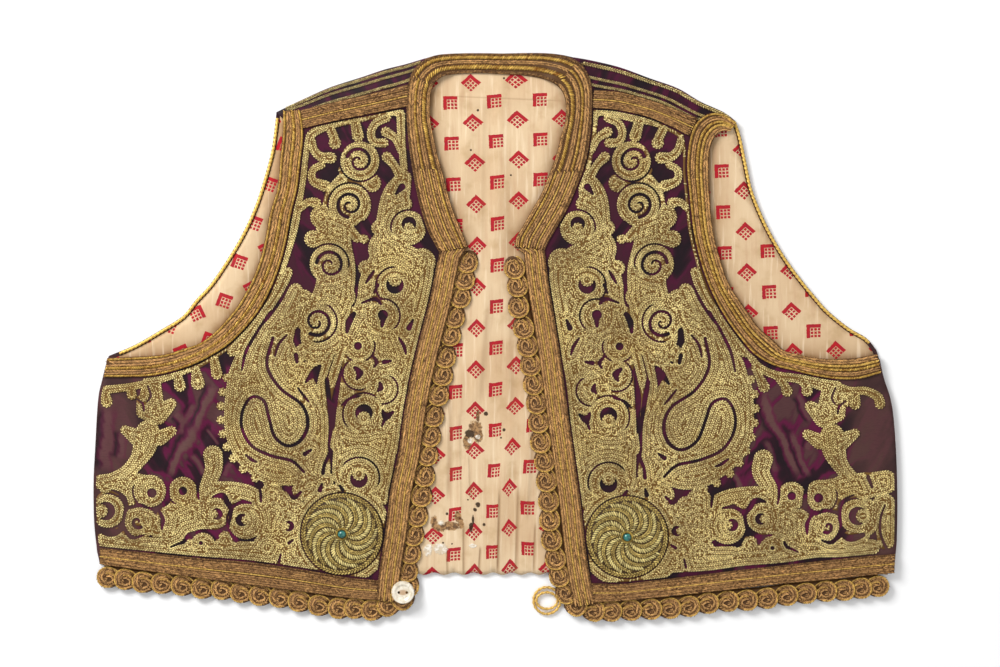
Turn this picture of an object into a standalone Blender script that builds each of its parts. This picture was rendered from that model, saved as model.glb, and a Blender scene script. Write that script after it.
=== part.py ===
"""Embroidered waistcoat, laid flat and open at the front, as pieces a tailor would cut and sew on.

Every pattern table is written on one cutting grid.  Its steps count right and down from the
grid's top left corner, so the tables share one set of places and GRID_STEP sets the real size.
The origin is at the middle of the garment's underside, +Y is towards the neck and +Z is up.
"""
import math

import bmesh
import bpy
import numpy as np
from mathutils import Matrix

# Driving dimensions, in metres unless a name says otherwise.
GRID_STEP = 0.0006              # one step of the cutting grid
GRID_MIDDLE = (495.7, 335.5)    # the grid place that lies on the origin
GAP = 0.0003                    # clearance between neighbouring pieces
BACK_CLOTH = 0.0012
LINING_CLOTH = 0.0010
FRONT_CLOTH = 0.0014
RELIEF_HEIGHT = 0.0011          # couched cord above the front's silk
BAND_HEIGHT = 0.0013
LOOP_HEIGHT = 0.0016
EDGE_CORD_RADIUS = 0.00105
FRONT_BAND_STEPS = 21           # width of the band down each front edge, in grid steps
SEAM_STEPS = GAP / GRID_STEP    # the seam gap, in grid steps
FOLD_STEPS = BACK_CLOTH / GRID_STEP     # thickness of a turned edge, in grid steps
LINING_INSET = 4.3              # how far the lining stays inside the garment's outline, in grid steps
CURVE_SPACING = 11              # grid steps between the points of a smooth edge
SIDE_SPACING = 24               # the same for the nearly straight sides
HEM_SPACING = 30                # and for the hem
FIELD_STEP = 1.5                # grid steps between samples of an embroidery field
RELIEF_TOLERANCE = 1.0          # grid steps that an outline of the embroidery may be smoothed by
RELIEF_CLEARANCE = 1.4          # grid steps between the embroidery and the bands or the rosette
LEAST_RELIEF = 60               # smallest patch of embroidery that is kept, in square grid steps
LEAST_PATTERN = 100             # smallest cloth or loop outline that is kept, in square grid steps
FLAT_ANGLE = 0.01               # faces that turn less than this, in radians, become one
WELD_DISTANCE = 0.000002
TURNED_SIDES = 24               # sides of a piece turned about its own middle

# Heights of the layers, from the underside up.
LINING_Z = BACK_CLOTH + GAP
FRONT_Z = LINING_Z + LINING_CLOTH + GAP
FRONT_TOP = FRONT_Z + FRONT_CLOTH
BAND_Z = FRONT_TOP + GAP
BUTTON_Z = BAND_Z + BAND_HEIGHT + GAP

# Silhouette tables: columns right, down.
LEFT_ARMHOLE = ((276, 112), (274, 130), (270, 155), (260, 190), (252, 212), (240, 237), (225, 262),
                (209, 285), (195, 300), (182, 316), (160, 330), (134, 345), (108, 356))
LEFT_SIDE = ((108, 356), (106.5, 362), (102, 380), (98, 400), (95, 450), (93.4, 483), (94, 522), (97, 552),
             (99, 564))
RIGHT_ARMHOLE = ((736, 121), (741, 135), (747, 163), (753, 190), (765, 220), (780, 248), (797, 273),
                 (818, 299), (830, 312), (850, 328), (867, 338), (877, 350))
RIGHT_SIDE = ((877, 350), (880, 360), (884, 378), (892, 405), (896, 448), (897.5, 498), (897, 541),
              (894, 559))
LEFT_SHOULDER = ((276, 112), (290, 105), (305, 98), (330, 87), (361, 77), (385, 69), (405, 64), (425, 58))
RIGHT_SHOULDER = ((574, 57), (591, 60), (620, 67), (650, 78), (678, 88), (700, 101), (724, 112), (736, 121))
NECK_TOP = ((425, 58), (440, 54), (465, 53), (500, 53), (540, 52.5), (560, 54), (574, 57))
BACK_HEM = ((99, 564), (240, 570), (370, 572), (500, 571), (630, 571), (760, 567), (894, 559))
LINING_HEM = 574                # grid row of the lining's puckered lower edge
PUCKER_PITCH = 18.5
PUCKER_DEPTH = 1.3
PUCKER_DRIFT = 1.1              # how far, in radians, the puckers stray from an even pitch
LINING_TOLERANCE = 0.4          # grid steps that the lining's outline may be smoothed by

# Band tables: columns inner right, inner down, outer right, outer down.  Inner is the side of the
# embroidery and outer is the side of the opening.
NECK_BAND = ((439, 252, 468, 247), (433, 241, 464, 237), (427, 229, 460, 228), (421, 210, 453, 210),
             (417, 194, 448, 194), (413, 173, 443, 174), (410, 152, 437, 153), (408, 134, 433, 134),
             (407, 118, 430, 118), (407, 101, 430, 102), (409, 83, 431, 92), (413, 71, 435, 83),
             (423, 61, 442, 77), (436, 55.5, 449, 75), (455, 53.5, 461, 73.5), (480, 53.2, 481, 73),
             (505, 53.5, 502, 74), (530, 53, 522, 75), (551, 53.5, 540, 78), (570, 57.5, 553, 83),
             (582, 65, 561, 90), (590, 79, 565, 99), (592, 92, 566, 110), (592, 108, 565, 121),
             (591, 128, 561, 136), (588, 151, 556, 155), (583, 171, 550, 172), (575, 192, 542, 192),
             (567, 210, 532, 210), (556, 229, 521, 229), (549, 241, 516, 238), (545, 250, 515, 247))
LEFT_ARMHOLE_BAND = ((300, 110, 283, 111), (303, 127, 283, 127), (303, 142, 282, 142), (301, 158, 280, 158),
                     (299, 175, 279, 174), (297, 190, 277, 190), (291, 215, 270, 212), (287, 238, 266, 234),
                     (281, 262, 261, 256), (273, 284, 252, 280), (262, 306, 240, 302), (247, 326, 228, 318),
                     (230, 343, 214, 333), (212, 355, 200, 343), (192, 365, 183, 349), (170, 372, 166, 354),
                     (150, 376, 149, 356), (127, 377, 128, 357), (104, 377, 107.5, 358))
RIGHT_ARMHOLE_BAND = ((736, 123, 730, 131), (722, 114, 723, 131), (708, 114, 716, 136),
                      (697, 122, 711, 145), (691, 134, 709, 156), (688, 150, 708.5, 168),
                      (687, 168, 709, 182), (689, 190, 710, 198),
                      (691, 210, 711, 214), (694, 234, 714, 236), (701, 263, 721, 262), (710, 288, 730, 286),
                      (722, 312, 744, 307), (737, 334, 758, 327), (754, 354, 773, 340), (773, 365, 785, 351),
                      (792, 370, 800, 355), (812, 375, 816, 358), (836, 379, 835, 359), (858, 379, 856, 358),
                      (881, 373, 877, 354))
LEFT_SHOULDER_BAND = ((305, 109, 306, 128), (330, 103, 330, 122), (365, 95, 365, 115), (390, 89, 390, 110),
                      (405, 85, 405, 107))
RIGHT_SHOULDER_BAND = ((594, 90, 593, 108), (620, 92, 617, 110), (650, 100, 648, 117), (675, 109, 672, 127),
                       (690, 115, 685, 134))
LEFT_HEM_BAND = ((100, 548, 100, 564), (150, 553, 150, 571), (200, 558, 200, 578), (250, 562, 250, 585),
                 (300, 569, 300, 591.5), (345, 577, 345, 597.5), (375, 580, 376, 600))
RIGHT_HEM_BAND = ((592.5, 583, 596, 602), (620, 584, 622, 600.5), (650, 581, 652, 597.5),
                  (700, 575, 702, 592.5), (740, 570, 742, 588), (785, 565, 787, 583), (820, 561, 822, 580),
                  (870, 556, 871, 575), (895, 554, 894, 573))
BAND_PROFILE = ((0, BAND_HEIGHT * 0.55), (0.12, BAND_HEIGHT), (0.5, BAND_HEIGHT * 0.9),
                (0.88, BAND_HEIGHT), (1, BAND_HEIGHT * 0.55))      # share across, height
EDGE_CORD_INSET = 1.9           # from the armhole's edge to the middle of its cord, in grid steps
# Inner edge of the band down each front edge: columns right, down.
LEFT_FRONT_EDGE = ((439.5, 253), (435, 275), (430, 300), (420, 339), (411, 377), (404, 416), (399, 452),
                   (391, 489), (386, 530), (380, 568), (376.5, 600))
RIGHT_FRONT_EDGE = ((544.5, 251), (548, 280), (554, 317), (560, 355), (566, 400), (573, 450), (580, 500),
                    (585, 545), (590, 578), (595, 603))

# Loop tables: columns right, down of each curled loop's middle.
LEFT_LOOPS = ((467, 263), (464, 280), (460, 298), (454, 318), (450, 336), (445, 358), (442, 376),
              (438, 396), (433, 417), (430, 437), (427, 456), (424, 477), (421, 497), (417, 517),
              (413, 536), (410, 554), (407, 572), (408, 587), (402, 600), (387, 606), (371, 610),
              (354, 608), (338, 608), (318, 605), (298, 601), (279, 597), (259, 595), (240, 592),
              (221, 589), (201, 588), (181, 585), (161, 583), (142, 582), (124, 579), (107, 577))
RIGHT_LOOPS = ((515, 269), (518, 287), (519, 308), (524, 329), (528, 347), (531, 366), (534, 385),
               (537, 404), (539, 423), (541, 443), (545, 462), (547, 482), (549, 502), (550, 521),
               (552, 541), (556, 560), (560, 577), (567, 594), (577, 606), (595, 611), (612, 611),
               (632, 610), (652, 609), (671, 608), (690, 606), (709, 603), (729, 601), (748, 600),
               (768, 598), (788, 595), (807, 593), (827, 591), (845, 590), (862, 588), (879, 586))
LOOP_STEPS = 9.6                # outer radius of a loop
LOOP_TOLERANCE = 0.5            # grid steps that the loops' outline may be smoothed by
HEADER_STEPS = 5                # width of the cord that the loops start from
BUTTON_LOOP = (547, 601)        # middle of the ring that takes the button
BUTTON_LOOP_OUTER = (0.009, 0.009)      # half width and half height of the ring
BUTTON_LOOP_HOLE = (0.0045, 0.0027)     # half width and half height of its opening
BUTTON_LOOP_HEIGHT = 0.0021
RING_SIDES = 20
BUTTON = (403, 592)
BUTTON_RADIUS = 0.0069
BUTTON_HEIGHT = 0.0022
BUTTON_HOLE_RADIUS = 0.0008
BUTTON_HOLE_APART = 0.0048

# Rosettes and their beads: columns right, down.
ROSETTES = {"left": (342, 534), "right": (627, 537)}
ROSETTE_STEPS = 40
ROSETTE_SPOKES = 12
ROSETTE_SWIRL = 1.1             # how far a spoke turns on its way out, in radians
SPOKE_SHARES = (0.2, 0.42, 0.64)        # where a spoke passes, as shares of the rosette's radius
SPOKE_HALF = 1.1                # half width of a spoke, in grid steps
ROSETTE_BASE = 0.0009
ROSETTE_CUFF = 9                # width of the embroidery drawn round each rosette, in grid steps
BEAD_RADIUS = 0.0024
BEAD_FLATNESS = 0.8

# Colours and roughness of the pieces.
SILK = (0.10, 0.012, 0.08)
COTTON = (0.76, 0.62, 0.42)
BRAID = (0.27, 0.18, 0.09)
GOLD = (0.52, 0.30, 0.09)
BEAD = (0.03, 0.22, 0.21)
SHELL = (0.85, 0.83, 0.80)

# The embroidery of one front.  The other front has the same motifs turned over about a line that
# leans with the garment: a place (right, down) goes to (MIRROR_TOP - lean * (down - MIRROR_ROW) - right).
MIRROR_TOP = 990
MIRROR_ROW = 180
MIRROR_LEAN = 0.075
HEM_DROP = 5                    # how much lower the hem motifs of the right front sit
# Lobes of the motifs: columns right, down, radius.
LOBES = ((360, 161, 19.5), (344, 170, 6), (372, 183, 9.5), (355, 185, 13), (352, 205, 18), (370, 222, 5),
         (322, 220, 11), (314, 238, 10), (333, 235, 15), (345, 243, 10), (329, 264, 19),
         (345, 297, 11), (325, 299, 13), (303, 300, 11), (316, 322, 18), (332, 340, 14), (318, 353, 14),
         (300, 352, 10), (306, 368, 9), (405, 203, 7), (409, 227, 18), (379, 228, 7), (388, 249, 20),
         (422, 262, 15), (404, 264, 20), (372, 268, 8), (395, 287, 19), (374, 298, 8), (383, 315, 17),
         (405, 320, 12), (400, 342, 17), (360, 345, 16), (385, 354, 16), (360, 375, 16), (386, 388, 15),
         (366, 413, 21.5), (365, 445, 26), (342, 440, 13), (388, 442, 15), (352, 460, 18), (378, 460, 17),
         (359, 480, 21), (383, 478, 13), (338, 482, 9), (112, 511, 16), (150, 492, 17), (130, 500, 8),
         (138, 522, 16), (164, 508, 8), (122, 538, 7), (183, 491, 14), (185, 515, 18), (176, 532, 13),
         (200, 517, 16), (216, 514, 16), (234, 496, 7), (257, 493, 7), (224, 536, 9), (244, 521, 19),
         (265, 500, 11), (276, 494, 10), (268, 525, 21), (262, 545, 14), (285, 508, 13), (288, 527, 14),
         (287, 550, 13), (272, 553, 12), (305, 495, 10), (148, 433, 13), (384, 495, 7), (307, 478, 8))
# Stems, leaves and the paisley: rows of right, down, radius, from one end to the other.
STEMS = (
    ((401, 168, 3.7), (399, 140, 3.7), (396, 122, 3.7), (375, 121, 3.7), (345, 127, 3.7), (315, 137, 3.7),
     (309, 160, 3.7), (305, 190, 3.7), (300, 222, 3.7), (291, 250, 3.7), (281, 275, 3.7), (270, 297, 3.7),
     (255, 319, 3.7), (240, 335, 3.7), (220, 352, 3.7), (195, 366, 3.7), (165, 377, 3.7), (135, 382, 3.7),
     (108, 382, 3.7)),
    ((313, 140, 3.7), (314, 150, 3.7), (321, 157, 4), (331, 157, 5)),
    ((322, 164, 3.7), (313, 170, 3.7), (314, 181, 3.7), (325, 185, 6)),
    ((304, 208, 3.7), (310, 203, 3.7), (317, 202, 5)),
    ((387, 121, 3.7), (376, 122, 3.7), (370, 132, 3.7), (374, 143, 3.7), (383, 143, 4)),
    ((386, 132, 5), (396, 139, 3.7), (400, 150, 3.7)),
    ((387, 157, 5), (394, 165, 3.7), (400, 176, 3.7)),
    ((350, 178, 5), (334, 188, 5), (330, 206, 5), (338, 228, 6), (349, 250, 8), (352, 275, 8), (347, 292, 9)),
    ((338, 345, 4), (333, 362, 4), (325, 380, 4), (320, 400, 3.7)),
    ((300, 310, 8), (272, 335, 17), (257, 362, 23), (261, 392, 38), (276, 425, 51), (285, 437, 47)),
    ((402, 180, 9), (394, 198, 13), (388, 218, 11), (388, 240, 13)),
    ((375, 268, 7), (362, 290, 7), (357, 318, 7)),
    ((400, 352, 9), (396, 385, 8), (392, 422, 7)),
    ((346, 400, 8), (338, 430, 8), (338, 470, 8)),
    ((416, 272, 12), (412, 300, 9), (406, 330, 8)),
    ((104, 492, 6), (116, 483, 6), (135, 477, 6), (153, 481, 6)),
    ((104, 538, 5), (130, 541, 5), (160, 543, 6), (180, 535, 10)),
    ((213, 455, 10), (214, 468, 9), (207, 490, 7)),
    ((206, 494, 6), (225, 487, 6), (245, 491, 6), (258, 500, 6)),
    ((180, 546, 6), (200, 545, 8), (220, 543, 8)),
    ((126, 480, 8), (135, 460, 8), (143, 440, 12)),
    ((122, 428, 5), (136, 438, 8)),
    ((173, 430, 5), (153, 443, 9)),
    ((155, 383, 8), (150, 408, 14)),
    ((171, 404, 6), (157, 414, 9)),
    ((108, 384, 3.7), (110, 401, 5)),
    ((133, 384, 3.7), (133, 393, 5)),
    ((197, 368, 3.7), (199, 383, 6)),
)
# Openings in the motifs that show the silk: columns right, down, radius.
EYES = ((410, 225, 5.5), (396, 288, 6), (383, 315, 5), (358, 346, 4), (359, 372, 5), (365, 412, 6),
        (360, 479, 7), (152, 493, 4.5), (183, 491, 4.5), (115, 511, 6), (244, 521, 5))
# The groove that curls through the paisley: columns right, down.
PAISLEY_GROOVE = ((273, 338), (267, 365), (280, 388), (302, 405), (308, 424), (301, 440), (288, 446),
                  (275, 437), (269, 418), (264, 401), (252, 397), (243, 410), (242, 428), (252, 446),
                  (272, 456), (292, 461), (304, 472))
GROOVE_STEPS = 1.7              # half width of that groove

# Soft creases that stand up from the cloth: rows of right, down, half width.
LEFT_CREASES = (((214, 392, 3), (198, 425, 6), (182, 455, 5), (172, 470, 2)),
                ((182, 402, 2), (176, 425, 5), (171, 448, 2)))
RIGHT_CREASES = (((768, 405, 3), (782, 430, 6), (796, 462, 5), (800, 474, 2)),
                 ((860, 400, 2), (872, 420, 4), (878, 440, 2)))
LINING_CREASES = (((501, 84, 2), (500, 150, 4), (497, 240, 5), (499, 290, 3)),
                  ((489, 250, 2), (484, 320, 5), (476, 380, 4), (474, 402, 2)),
                  ((461, 372, 2), (458, 400, 5), (457, 425, 2)),
                  ((512, 425, 2), (503, 480, 6), (497, 530, 5), (495, 560, 2)),
                  ((468, 470, 2), (462, 500, 4), (460, 530, 2)))
CREASE_HEIGHT = 0.0008


# ---------------------------------------------------------------- pattern geometry

def place(right, down):
    """Metres of a place on the cutting grid."""
    return ((right - GRID_MIDDLE[0]) * GRID_STEP, (GRID_MIDDLE[1] - down) * GRID_STEP)


def smooth_rows(rows, spacing=CURVE_SPACING):
    """Rows read from a smooth curve through the table's rows, about the spacing apart."""
    table = np.array(rows, float)
    ends = np.vstack([2 * table[0] - table[1], table, 2 * table[-1] - table[-2]])
    result = []
    for before, start, finish, after in zip(ends, ends[1:], ends[2:], ends[3:]):
        count = max(1, round(math.dist(start[:2], finish[:2]) / spacing))
        for step in range(count):
            t = step / count
            result.append(0.5 * (2 * start + (finish - before) * t
                                 + (2 * before - 5 * start + 4 * finish - after) * t ** 2
                                 + (3 * start - before - 3 * finish + after) * t ** 3))
    result.append(table[-1])
    return np.array(result)


def offset_line(line, distance):
    """The line moved sideways, to its left as it runs down the grid for a positive distance."""
    line = np.array(line, float)
    along = np.gradient(line, axis=0)
    along /= np.linalg.norm(along, axis=1)[:, None]
    return line + distance * np.stack([along[:, 1], -along[:, 0]], axis=1)


def join_lines(*lines):
    """One closed outline from lines that follow each other, without doubled corners."""
    outline = []
    for point in np.vstack(lines):
        if not outline or math.dist(outline[-1], point) > 0.3:
            outline.append(tuple(point))
    if math.dist(outline[0], outline[-1]) < 0.3:
        outline.pop()
    return np.array(outline)


def mirrored(right, down):
    """Place of a left front motif on the right front."""
    drop = HEM_DROP * min(max((down - 330) / 150, 0), 1)
    return MIRROR_TOP - MIRROR_LEAN * (down - MIRROR_ROW) - right, down + drop


# ---------------------------------------------------------------- fields on the grid

def field_grid(outline, margin=6):
    """Sample places that cover an outline."""
    low = outline.min(axis=0) - margin
    high = outline.max(axis=0) + margin
    return np.meshgrid(np.arange(low[0], high[0], FIELD_STEP), np.arange(low[1], high[1], FIELD_STEP))


def outline_field(right, down, outline):
    """Signed distance to a closed outline, negative inside."""
    distance = np.full(right.shape, 1e9)
    inside = np.zeros(right.shape, bool)
    for start, finish in zip(outline, np.roll(outline, -1, axis=0)):
        distance = np.minimum(distance, stroke_field(right, down, (*start, 0), (*finish, 0)))
        crosses = (start[1] > down) != (finish[1] > down)
        rise = finish[1] - start[1]
        edge = start[0] + (down - start[1]) * (finish[0] - start[0]) / (rise if rise else 1)
        inside ^= crosses & (right < edge)
    return np.where(inside, -distance, distance)


def stroke_field(right, down, start, finish):
    """Signed distance to a straight stroke between two (right, down, radius) rows."""
    across = finish[0] - start[0]
    drop = finish[1] - start[1]
    length = across ** 2 + drop ** 2
    t = np.clip(((right - start[0]) * across + (down - start[1]) * drop) / max(length, 1e-9), 0, 1)
    radius = start[2] + t * (finish[2] - start[2])
    return np.hypot(right - start[0] - t * across, down - start[1] - t * drop) - radius


def path_field(right, down, rows, spacing=6):
    """Signed distance to a smooth stroke through (right, down, radius) rows."""
    curve = smooth_rows(rows, spacing)
    return np.minimum.reduce([stroke_field(right, down, a, b) for a, b in zip(curve, curve[1:])])


def crossing(a, b, values, right, down):
    """Place where the field crosses zero between two neighbouring samples."""
    t = values[a] / (values[a] - values[b])
    return (right[a] + t * (right[b] - right[a]), down[a] + t * (down[b] - down[a]))


def field_loops(values, right, down, tolerance, least_area):
    """Closed outlines of the places where the field is negative, thinned to a tolerance."""
    values = np.where(abs(values) < 0.001, 0.001, values)
    inside = values < 0
    links = {}
    mixed = inside[:-1, :-1].astype(int) + inside[:-1, 1:] + inside[1:, 1:] + inside[1:, :-1]
    for j, i in np.argwhere((mixed > 0) & (mixed < 4)):
        corners = [(j, i), (j, i + 1), (j + 1, i + 1), (j + 1, i)]
        edges = [tuple(sorted((a, b))) for a, b in zip(corners, corners[1:] + corners[:1])]
        cut = [k for k in range(4) if inside[corners[k]] != inside[corners[(k + 1) % 4]]]
        if len(cut) == 4 and not inside[corners[0]]:
            cut = cut[1:] + cut[:1]
        if len(cut) == 4:
            cut = cut[3:] + cut[:3]
        for first, second in zip(cut[::2], cut[1::2]):
            links.setdefault(edges[first], []).append(edges[second])
            links.setdefault(edges[second], []).append(edges[first])
    loops = []
    while links:
        start = next(iter(links))
        walk = [start]
        while links.get(walk[-1]):
            following = links[walk[-1]].pop()
            links[following].remove(walk[-1])
            if not links[walk[-1]]:
                del links[walk[-1]]
            if following == start:
                break
            walk.append(following)
        links.pop(start, None)
        loop = thin_loop(np.array([crossing(a, b, values, right, down) for a, b in walk]), tolerance)
        if len(loop) > 3 and abs(loop_area(loop)) > least_area:
            loops.append(join_lines(loop))
    return loops


def loop_area(loop):
    following = np.roll(loop, -1, axis=0)
    return 0.5 * float(np.sum(loop[:, 0] * following[:, 1] - loop[:, 1] * following[:, 0]))


def thin_line(line, tolerance):
    """The fewest points of an open line that keep it within the tolerance."""
    if len(line) < 3:
        return [line[0]]
    chord = line[-1] - line[0]
    apart = line - line[0]
    length = np.hypot(*chord)
    if length < 1e-6:
        away = np.hypot(apart[:, 0], apart[:, 1])
    else:
        away = abs(chord[0] * apart[:, 1] - chord[1] * apart[:, 0]) / length
    widest = int(np.argmax(away))
    if away[widest] < tolerance:
        return [line[0]]
    return thin_line(line[:widest + 1], tolerance) + thin_line(line[widest:], tolerance)


def thin_loop(loop, tolerance):
    far = int(np.argmax(np.hypot(*(loop - loop[0]).T)))
    closed = np.vstack([loop, loop[:1]])
    return np.array(thin_line(closed[:far + 1], tolerance) + thin_line(closed[far:], tolerance))


# ---------------------------------------------------------------- Blender pieces

def new_collection(name):
    collection = bpy.data.collections.new(name)
    bpy.context.scene.collection.children.link(collection)
    return collection


def finish_material(obj, colour, roughness, metallic=0.0):
    material = bpy.data.materials.new(obj.name)
    material.use_nodes = True
    shader = material.node_tree.nodes["Principled BSDF"]
    shader.inputs["Base Color"].default_value = (*colour, 1)
    shader.inputs["Roughness"].default_value = roughness
    shader.inputs["Metallic"].default_value = metallic
    obj.data.materials.clear()
    obj.data.materials.append(material)


def add_mesh(name, mesh):
    obj = bpy.data.objects.new(name, mesh)
    parts.objects.link(obj)
    return obj


def curve_to_mesh(name, curve):
    """A closed mesh object with the curve's form and welded caps."""
    guide = bpy.data.objects.new(name + ".curve", curve)
    parts.objects.link(guide)
    bpy.context.view_layer.update()
    evaluated = guide.evaluated_get(bpy.context.evaluated_depsgraph_get())
    mesh = bpy.data.meshes.new_from_object(evaluated)
    bpy.data.objects.remove(guide)
    bpy.data.curves.remove(curve)
    welded = bmesh.new()
    welded.from_mesh(mesh)
    bmesh.ops.remove_doubles(welded, verts=welded.verts, dist=WELD_DISTANCE)
    bmesh.ops.dissolve_limit(welded, angle_limit=FLAT_ANGLE, verts=welded.verts, edges=welded.edges)
    bmesh.ops.recalc_face_normals(welded, faces=welded.faces)
    welded.to_mesh(mesh)
    welded.free()
    mesh.name = name
    return add_mesh(name, mesh)


def plate(name, loops, bottom, top):
    """Flat cloth cut to closed outlines on the grid, an outline inside another being a hole."""
    curve = bpy.data.curves.new(name, "CURVE")
    curve.dimensions = "2D"
    curve.fill_mode = "BOTH"
    curve.extrude = (top - bottom) / 2
    for loop in loops:
        spline = curve.splines.new("POLY")
        spline.points.add(len(loop) - 1)
        for point, (right, down) in zip(spline.points, loop):
            point.co = (*place(right, down), 0, 1)
        spline.use_cyclic_u = True
    obj = curve_to_mesh(name, curve)
    obj.data.transform(Matrix.Translation((0, 0, (top + bottom) / 2)))
    return obj


def cord(name, rows, height, radius, sides=1):
    """A round cord along smooth rows of the grid, at one height."""
    curve = bpy.data.curves.new(name, "CURVE")
    curve.dimensions = "3D"
    curve.bevel_depth = radius
    curve.bevel_resolution = sides
    curve.use_fill_caps = True
    line = smooth_rows(rows)
    spline = curve.splines.new("POLY")
    spline.points.add(len(line) - 1)
    for point, row in zip(spline.points, line):
        point.co = (*place(row[0], row[1]), height, 1)
        point.radius = row[2] if len(row) > 2 else 1
    return curve_to_mesh(name, curve)


def crease(name, rows, base, height):
    """A long low ridge that sinks into the cloth it rises from."""
    widest = max(row[2] for row in rows)
    ridge = cord(name, [(row[0], row[1], row[2] / widest) for row in rows], 0, widest * GRID_STEP)
    sunk = height * 0.2
    for vertex in ridge.data.vertices:
        share = vertex.co.z / (widest * GRID_STEP)
        vertex.co.z = base - sunk + share * (height + sunk if share > 0 else sunk)
    return ridge


def ribbon(name, rows, base):
    """A band lofted across (inner, outer) rows, with the band's profile along its top.  The base
    gives the underside's height for each row, or one height for all."""
    stations = smooth_rows(rows)
    bases = base(stations) if callable(base) else np.full(len(stations), base)
    mesh = bmesh.new()
    rings = []
    for row, height in zip(stations, bases):
        inner = np.array(place(row[0], row[1]))
        outer = np.array(place(row[2], row[3]))
        ring = [mesh.verts.new((*(inner + (outer - inner) * share), height + rise))
                for share, rise in BAND_PROFILE]
        ring.append(mesh.verts.new((*outer, height)))
        ring.append(mesh.verts.new((*inner, height)))
        rings.append(ring)
    for first, second in zip(rings, rings[1:]):
        for k in range(len(first)):
            following = (k + 1) % len(first)
            mesh.faces.new((first[k], first[following], second[following], second[k]))
    mesh.faces.new(rings[0])
    mesh.faces.new(reversed(rings[-1]))
    bmesh.ops.recalc_face_normals(mesh, faces=mesh.faces)
    data = bpy.data.meshes.new(name)
    mesh.to_mesh(data)
    mesh.free()
    return add_mesh(name, data)


def turned(name, heights):
    """A piece turned about the upright axis from (radius, height) rows; it touches itself only there."""
    mesh = bpy.data.meshes.new(name)
    obj = add_mesh(name, mesh)
    outline = bmesh.new()
    corners = [outline.verts.new((x, 0, z)) for x, z in heights[::-1]]
    on_axis = heights[0][0] == 0
    for first, second in zip(corners, corners[1:] + ([] if on_axis else corners[:1])):
        outline.edges.new((first, second))
    outline.to_mesh(mesh)
    outline.free()
    turn = obj.modifiers.new("turn", "SCREW")
    turn.steps = TURNED_SIDES
    turn.render_steps = TURNED_SIDES
    turn.use_merge_vertices = True
    turn.merge_threshold = WELD_DISTANCE * 5
    return obj


def combine(base, tool, operation):
    """Join a tool to the base, or cut it away, with an exact Boolean."""
    parts.objects.unlink(tool)
    cutters.objects.link(tool)
    tool.hide_render = True
    tool.display_type = "WIRE"
    modifier = base.modifiers.new(tool.name, "BOOLEAN")
    modifier.operation = operation
    modifier.object = tool
    modifier.solver = "EXACT"


# ---------------------------------------------------------------- cloth pieces

def silhouette(hem):
    """The garment's outline, laid flat, with the given hem line."""
    lines = [smooth_rows(LEFT_SHOULDER), smooth_rows(NECK_TOP), smooth_rows(RIGHT_SHOULDER),
             smooth_rows(RIGHT_ARMHOLE), smooth_rows(RIGHT_SIDE, SIDE_SPACING),
             smooth_rows(hem, HEM_SPACING)[::-1], smooth_rows(LEFT_SIDE, SIDE_SPACING)[::-1],
             smooth_rows(LEFT_ARMHOLE)[::-1]]
    return join_lines(*lines)


def yoke_loops(shoulder, band, armhole_end, neck_end):
    """The strip that folds over one shoulder, and the fold's own narrow wall."""
    fold = smooth_rows(shoulder)
    seam = smooth_rows([((a + c) / 2, (b + d) / 2 - SEAM_STEPS / 2) for a, b, c, d in band])
    if fold[0][0] > fold[-1][0]:
        fold = fold[::-1]
    ends = sorted((armhole_end, neck_end))
    leaf = join_lines(fold, [ends[1]], seam[::-1], [ends[0]])
    wall = join_lines(fold, offset_line(fold, -FOLD_STEPS)[::-1])
    return leaf, wall


def make_back():
    back = plate("back", [silhouette(BACK_HEM)], 0, BACK_CLOTH)
    sides = (("left", LEFT_SHOULDER, LEFT_SHOULDER_BAND, (282, 118), (433, 84)),
             ("right", RIGHT_SHOULDER, RIGHT_SHOULDER_BAND, (705, 119), (563, 92)))
    for side, shoulder, band, armhole_end, neck_end in sides:
        leaf, wall = yoke_loops(shoulder, band, armhole_end, neck_end)
        combine(back, plate(f"{side}.fold", [wall], BACK_CLOTH / 2, FRONT_TOP - GAP / 3), "UNION")
        combine(back, plate(f"{side}.yoke", [leaf], FRONT_Z + GAP / 3, FRONT_TOP), "UNION")
    finish_material(back, SILK, 0.35)


def make_lining():
    """The lining follows the silhouette, but its own puckered edge is free at the hem."""
    outline = silhouette([(right, down + PUCKER_PITCH) for right, down in BACK_HEM])
    right, down = field_grid(outline)
    values = outline_field(right, down, outline) + LINING_INSET
    pucker = PUCKER_DEPTH * np.cos(2 * math.pi * right / PUCKER_PITCH + PUCKER_DRIFT * np.sin(right / 47))
    values = np.maximum(values, down - LINING_HEM - pucker)
    loops = field_loops(values, right, down, LINING_TOLERANCE, LEAST_PATTERN)
    lining = plate("back_lining", loops, LINING_Z, LINING_Z + LINING_CLOTH)
    for number, rows in enumerate(LINING_CREASES):
        ridge = crease(f"lining.crease.{number}", rows, LINING_Z + LINING_CLOTH, CREASE_HEIGHT)
        combine(lining, ridge, "UNION")
    finish_material(lining, COTTON, 0.85)


def front_edge(side):
    """Inner and outer lines of the band down a front edge."""
    rows = LEFT_FRONT_EDGE if side == "left" else RIGHT_FRONT_EDGE
    inner = smooth_rows(rows)
    outer = offset_line(inner, FRONT_BAND_STEPS if side == "left" else -FRONT_BAND_STEPS)
    return inner, outer


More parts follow.
